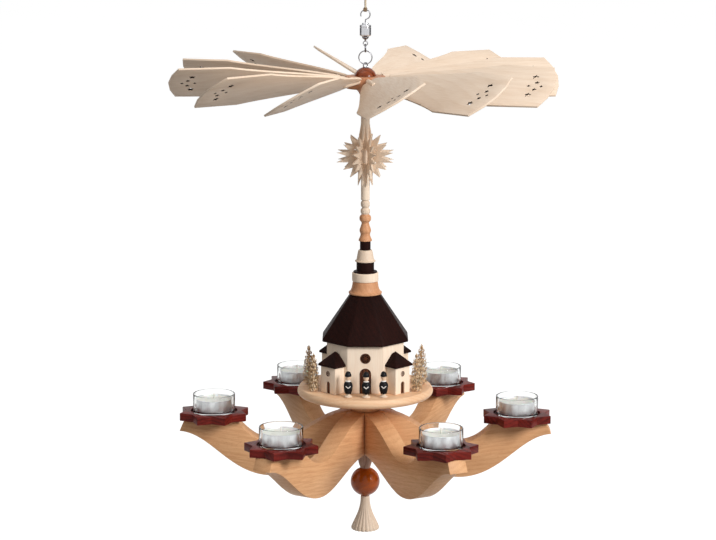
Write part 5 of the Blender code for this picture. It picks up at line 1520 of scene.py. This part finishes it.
class PYRAMID_OT_trees(bpy.types.Operator):
    """Curls the shavings of the four trees"""

    bl_idname = "pyramid.trees"
    bl_label = "Trees"

    # Width of a tree, as a share of its widest tier, at shares of its height
    FORM = ((0.0, 0.94), (0.12, 1.0), (0.35, 0.98), (0.6, 0.84), (0.8, 0.6), (0.92, 0.32))
    LOWEST_TIER, TIER_SPAN, FEWEST_CURLS = 0.08, 0.84, 6
    # How far a curl may stand off its place, as a share of the gap to the next curl and to the next tier
    SWAY, LIFT = 0.15, 0.3
    # Between which numbers each curl's reach, roll, turns and half width are drawn
    REACH, ROLL, TURNS, HALF_WIDTH = (0.88, 1.0), (0.34, 0.5), (1.5, 1.9), (0.5, 0.75)
    ROLL_STEPS, SHAVING = 10, 0.16 * MM

    def execute(self, context):
        sizes = context.scene.pyramid_church
        tiers = sizes.tree_tiers
        for index in range(4):
            name = f"tree_{index + 1}"
            least, most, place = standing(name)
            tall, wide = most.z - least.z, most.x - least.x
            chance = random.Random(index + 7)
            curls = []
            for tier in range(tiers):
                share = self.LOWEST_TIER + self.TIER_SPAN * tier / (tiers - 1)
                reach = wide / 2 * self.form(share)
                number = max(self.FEWEST_CURLS, round(sizes.tree_curls * self.form(share) ** 0.7))
                for curl in range(number):
                    a = FULL_TURN * (curl + 0.5 * (tier % 2) + chance.uniform(-self.SWAY, self.SWAY)) / number
                    out = reach * chance.uniform(*self.REACH)
                    ribbon = self.curl(out, tall / tiers * chance.uniform(*self.ROLL), chance)
                    height = tall * (share + chance.uniform(-self.LIFT, self.LIFT) / tiers)
                    bmesh.ops.transform(ribbon, matrix=shift(z=height) @ turn(a), verts=ribbon.verts)
                    curls.append(ribbon)
            piece(f"{name}_curls", joined(curls), "shaving", name, "shaving", 60, place)
            top = tall / MM
            foot = [(0, 0), (3.0, 0, 0.3), (3.0, 0.8, 0.4), (1.4, 1.6, 0.4)]
            stem = lathe([*foot, (1.1, top * 0.5), (0.5, top, 0.2), (0, top)], 20)
            piece(f"{name}_stem", stem, "pale_wood", name, "pale_wood", 60, place)
        return {"FINISHED"}

    def form(self, share):
        """Width of a tree at a share of its height."""
        for (low_at, low_width), (high_at, high_width) in zip(self.FORM, self.FORM[1:]):
            if share <= high_at:
                return low_width + (high_width - low_width) * (share - low_at) / (high_at - low_at)
        return self.FORM[-1][1]

    def curl(self, reach, roll, chance):
        """One shaving that leaves the stem, turns up and rolls in at its end."""
        line = [Vector((0.3 * MM, 0, -roll)), Vector(((reach - roll) * 0.6, 0, -roll * 1.1))]
        centre = Vector((reach - roll, 0, 0))
        turns = chance.uniform(*self.TURNS)
        for step in range(self.ROLL_STEPS + 1):
            a = -math.pi * 0.5 + math.pi * turns * step / self.ROLL_STEPS
            shrink = roll * (1 - 0.5 * step / self.ROLL_STEPS)
            line.append(centre + Vector((shrink * math.cos(a), 0, shrink * math.sin(a))))
        half = chance.uniform(*self.HALF_WIDTH) * MM
        bm = bmesh.new()
        rows = [bm.verts.new((point.x, -half * min(1, 0.3 + point.x / reach), point.z)) for point in line]
        edges = [bm.edges.new(pair) for pair in zip(rows, rows[1:])]
        made = bmesh.ops.extrude_edge_only(bm, edges=edges)["geom"]
        for vert in (part for part in made if isinstance(part, bmesh.types.BMVert)):
            vert.co.y = -vert.co.y
        bmesh.ops.solidify(bm, geom=bm.faces[:], thickness=self.SHAVING)
        bmesh.ops.recalc_face_normals(bm, faces=bm.faces)
        return grained(bm, (1, 0, 0), reach / MM)


class PYRAMID_OT_arms(bpy.types.Operator):
    """Saws the six curved arms and mitres them on the axis"""

    bl_idname = "pyramid.arms"
    bl_label = "Arms"

    # How far inside the candle circle an arm's level seat starts
    SEAT_RUN = 23.5 * MM

    def execute(self, context):
        sizes = context.scene.pyramid_arms
        arm = moved(board(self.outline(sizes), sizes.thickness), UPRIGHT)
        mitre = math.pi / sizes.arms
        for sign in (-1, 1):
            normal = Vector((-math.sin(mitre), sign * math.cos(mitre), 0))
            cut = bmesh.ops.bisect_plane(
                arm, geom=arm.verts[:] + arm.edges[:] + arm.faces[:],
                plane_co=-normal * SEAT / 2, plane_no=normal, clear_outer=True,
            )
            rim = [part for part in cut["geom_cut"] if isinstance(part, bmesh.types.BMEdge)]
            bmesh.ops.edgenet_fill(arm, edges=rim)
        bmesh.ops.recalc_face_normals(arm, faces=arm.faces)
        rounded(arm, 0.5 * MM, 35)
        for index in range(sizes.arms):
            name = f"arm_{index + 1}"
            plank = grained(arm.copy(), (1, 0, 0.12), index * 1.3)
            place = turn(sizes.first + FULL_TURN * index / sizes.arms)
            piece(f"{name}_board", plank, "beech", name, "beech", 30, place)
        return {"FINISHED"}

    def outline(self, sizes):
        """The side view of one arm, as distance from the axis and height."""
        seat = low("star_holder_1") - SEAT
        seat_start = sizes.holder_circle - self.SEAT_RUN
        reach, dip_at, lobe_at = sizes.reach, sizes.dip_at, sizes.lobe_at
        tip, lobe, dip = seat - sizes.tip_height, seat - sizes.lobe, seat - sizes.dip
        top, foot = seat + sizes.rise, seat - sizes.heart_depth
        span, drop = reach - lobe_at, seat_start - dip_at
        pull, push = (reach - span * 0.34, tip - 2 * MM), (lobe_at + span * 0.46, lobe)
        outer = bend((reach, tip), pull, push, (lobe_at, lobe), 30)
        inner = bend((lobe_at, lobe), (lobe_at * 0.74, lobe), (lobe_at * 0.48, foot - 3 * MM), (sizes.heart, foot), 24)
        middle = [Vector((0, foot)), Vector((0, top))]
        climb = bend((sizes.heart, top), (dip_at * 0.58, top - 5 * MM), (dip_at * 0.78, dip), (dip_at, dip), 24)
        pull, push = (dip_at + drop * 0.42, dip), (dip_at + drop * 0.66, seat - sizes.dip * 0.74)
        rise = bend((dip_at, dip), pull, push, (seat_start, seat), 22)
        return [*outer[:-1], *inner, *middle, *climb[:-1], *rise, Vector((reach - sizes.slant, seat))]


class PYRAMID_OT_holders(bpy.types.Operator):
    """Saws the six star-shaped candle holders"""

    bl_idname = "pyramid.holders"
    bl_label = "Star holders"

    def execute(self, context):
        sizes = context.scene.pyramid_arms
        # Inner corners as two crossed squares make them
        waist = math.cos(math.pi / 4) / math.cos(math.pi / 8)
        tall = sizes.holder_thickness
        bm = board(star(2 * sizes.holder, 8, waist, start=math.pi / 8), tall, 0.55 * MM)
        radius, floor = sizes.glass / 2 + sizes.glass_play, tall / 2 - sizes.holder_recess
        bm = carved(bm, [turned([(0, tall), (radius, tall), (radius, floor), (0, floor)], 72)])
        for index in range(sizes.arms):
            name = f"star_holder_{index + 1}"
            place = candle_place(sizes, index, low(name) + tall / 2)
            star_board = grained(bm.copy(), (1, 0.2, 0), index * 1.9)
            piece(f"{name}_stained", star_board, "red_stain", name, "red_stain", 30, place)
        bm.free()
        return {"FINISHED"}


class PYRAMID_OT_glasses(bpy.types.Operator):
    """Presses the six clear glasses"""

    bl_idname = "pyramid.glasses"
    bl_label = "Glasses"

    def execute(self, context):
        sizes = context.scene.pyramid_arms
        out = sizes.glass / MM / 2
        inner = out - sizes.glass_wall / MM
        tall, floor = sizes.glass_height / MM, sizes.glass_floor / MM
        corners = [
            (0, floor), (inner, floor, 1.4), (inner, tall, 0.6), (out, tall, 0.6),
            (out, 0, 1.5), (out - 4, 0, 0.6), (out - 5.5, 0.4, 0.4), (0, 0.5),
        ]
        for index in range(sizes.arms):
            name = f"glass_{index + 1}"
            place = candle_place(sizes, index, low(name))
            piece(f"{name}_clear", lathe(corners, 96, 5), "clear_glass", name, "clear_glass", 60, place, name)
        return {"FINISHED"}


class PYRAMID_OT_tealights(bpy.types.Operator):
    """Presses the candle cups and fills them with wax and wicks"""

    bl_idname = "pyramid.tealights"
    bl_label = "Tealights"

    def execute(self, context):
        sizes = context.scene.pyramid_arms
        out = sizes.cup / MM / 2
        tall, wax = sizes.cup_height / MM, sizes.wax_level / MM
        tip = wax + sizes.wick / MM
        cup = [
            (0, 0.9), (out - 3.4, 0.9, 0.3), (out - 2.4, 0, 0.5), (out - 0.7, 0, 0.7), (out - 0.4, tall - 0.8, 0.3),
            (out, tall - 0.7, 0.3), (out, tall, 0.3), (out - 0.5, tall, 0.3), (out - 0.6, wax - 1),
        ]
        fill = [
            (0, wax - 2), (out - 0.65, wax - 2), (out - 0.65, wax + 0.35, 0.3), (out - 1.8, wax, 0.8),
            (2.2, wax - 0.25, 1), (1.0, wax + 0.1), (0, wax + 0.1),
        ]
        wick = [(0, wax - 0.5), (0.62, wax - 0.5), (0.7, wax + 0.6, 0.2), (0.55, tip - 0.4, 0.3), (0, tip)]
        # Name, corners, steps round, finish and crease
        parts = (("cup", cup, 96, "cup_aluminium", 50), ("wax", fill, 64, "wax", 60), ("wick", wick, 16, "wick", 60))
        for index in range(sizes.arms):
            name = f"tealight_{index + 1}"
            place = candle_place(sizes, index, low(name))
            for part, corners, steps, kind, crease in parts:
                piece(f"{name}_{part}", lathe(corners, steps), kind, name, "candle_cup", crease, place, name)
        return {"FINISHED"}


class PYRAMID_OT_drop(bpy.types.Operator):
    """Turns the crown, the amber ball and the fluted tassel"""

    bl_idname = "pyramid.drop"
    bl_label = "Drop"

    # Flutes of the crown, then for both the depth of a flute, as a share of the radius, and its fineness
    CROWN_CUTS, TASSEL_CUTS = (14, 0.1, 3), (0.085, 5)

    def execute(self, context):
        sizes = context.scene.pyramid_drop
        ball = sizes.ball / 2
        centre = low("drop_ball") + ball
        line = arc(ball, math.pi / 2, -math.pi / 2, 56, (0, centre))
        piece("amber_ball", grained(turned(line, 96), (1, 0.3, 0.4)), "amber", "drop_ball", "amber_lacquer")

        top, half, base = high("drop_ball"), sizes.crown / 2, sizes.crown_foot / 2
        under = centre + math.sqrt(ball**2 - base**2) - 0.2 * MM
        levels = (
            (0, top), (half * 0.9, top), (half, top - 1 * MM), (half, top - 9 * MM),
            (half * 0.93, top - 12.5 * MM), (base * 1.02, under), (0, under),
        )
        crown = grained(self.fluted(levels, *self.CROWN_CUTS))
        piece("crown_carved", crown, "crown_wood", "drop_ball", crease=60)

        neck, wide = sizes.tassel_top / 2, sizes.tassel / 2
        top, foot = high("tassel"), low("tassel")
        tall = top - foot
        pull, push = (neck, top - tall * 0.45), (wide * 0.68, top - tall * 0.62)
        side = bend((neck * 0.96, top - 0.6 * MM), pull, push, (wide, foot + 1.6 * MM), 22)
        levels = [(0, top), (neck * 0.9, top), *(tuple(point) for point in side)]
        levels += [(wide * 0.97, foot), (wide * 0.6, foot), (0, foot + 0.6 * MM)]
        tassel = grained(self.fluted(levels, sizes.flutes, *self.TASSEL_CUTS))
        piece("tassel_fluted", tassel, "pale_wood", "tassel", crease=60)
        return {"FINISHED"}

    def fluted(self, levels, flutes, depth, fine):
        """A turned form with hollow flutes cut down its side, deepest where it is widest."""
        bm = turned(levels, flutes * fine * 2)
        widest = max(radius for radius, _ in levels)
        for vert in bm.verts:
            radius = math.hypot(vert.co.x, vert.co.y)
            if radius < WELD:
                continue
            wave = abs(math.sin(math.atan2(vert.co.y, vert.co.x) * flutes / 2))
            cut = 1 - depth * (1 - wave) ** 1.2 * min(1, radius / widest * 1.3)
            vert.co.x *= cut
            vert.co.y *= cut
        return bm


GROUPS = {
    "pyramid_stage": StageSizes,
    "pyramid_hanger": HangerSizes,
    "pyramid_fan": FanSizes,
    "pyramid_spire": SpireSizes,
    "pyramid_church": ChurchSizes,
    "pyramid_arms": ArmSizes,
    "pyramid_drop": DropSizes,
    "pyramid_colours": Colours,
}
STEPS = (
    PYRAMID_OT_stage, PYRAMID_OT_twine, PYRAMID_OT_hook, PYRAMID_OT_rings, PYRAMID_OT_hub, PYRAMID_OT_blades,
    PYRAMID_OT_star, PYRAMID_OT_baluster, PYRAMID_OT_spire_base, PYRAMID_OT_church, PYRAMID_OT_disc,
    PYRAMID_OT_figures, PYRAMID_OT_trees, PYRAMID_OT_arms, PYRAMID_OT_holders, PYRAMID_OT_glasses,
    PYRAMID_OT_tealights, PYRAMID_OT_drop,
)


class PYRAMID_PT_pieces(bpy.types.Panel):
    """Lists the steps that build the pyramid"""

    bl_idname = "PYRAMID_PT_pieces"
    bl_label = "Christmas Pyramid"
    bl_space_type = "VIEW_3D"
    bl_region_type = "UI"
    bl_category = "Pyramid"

    def draw(self, context):
        for step in STEPS:
            self.layout.operator(step.bl_idname)


def register():
    for made in (*GROUPS.values(), *STEPS, PYRAMID_PT_pieces):
        bpy.utils.register_class(made)
    for name, group in GROUPS.items():
        setattr(bpy.types.Scene, name, PointerProperty(type=group))


def unregister():
    for name in GROUPS:
        delattr(bpy.types.Scene, name)
    for made in reversed((*GROUPS.values(), *STEPS, PYRAMID_PT_pieces)):
        bpy.utils.unregister_class(made)


def main():
    register()
    for step in STEPS:
        family, name = step.bl_idname.split(".")
        getattr(getattr(bpy.ops, family), name)()


if __name__ == "__main__":
    main()
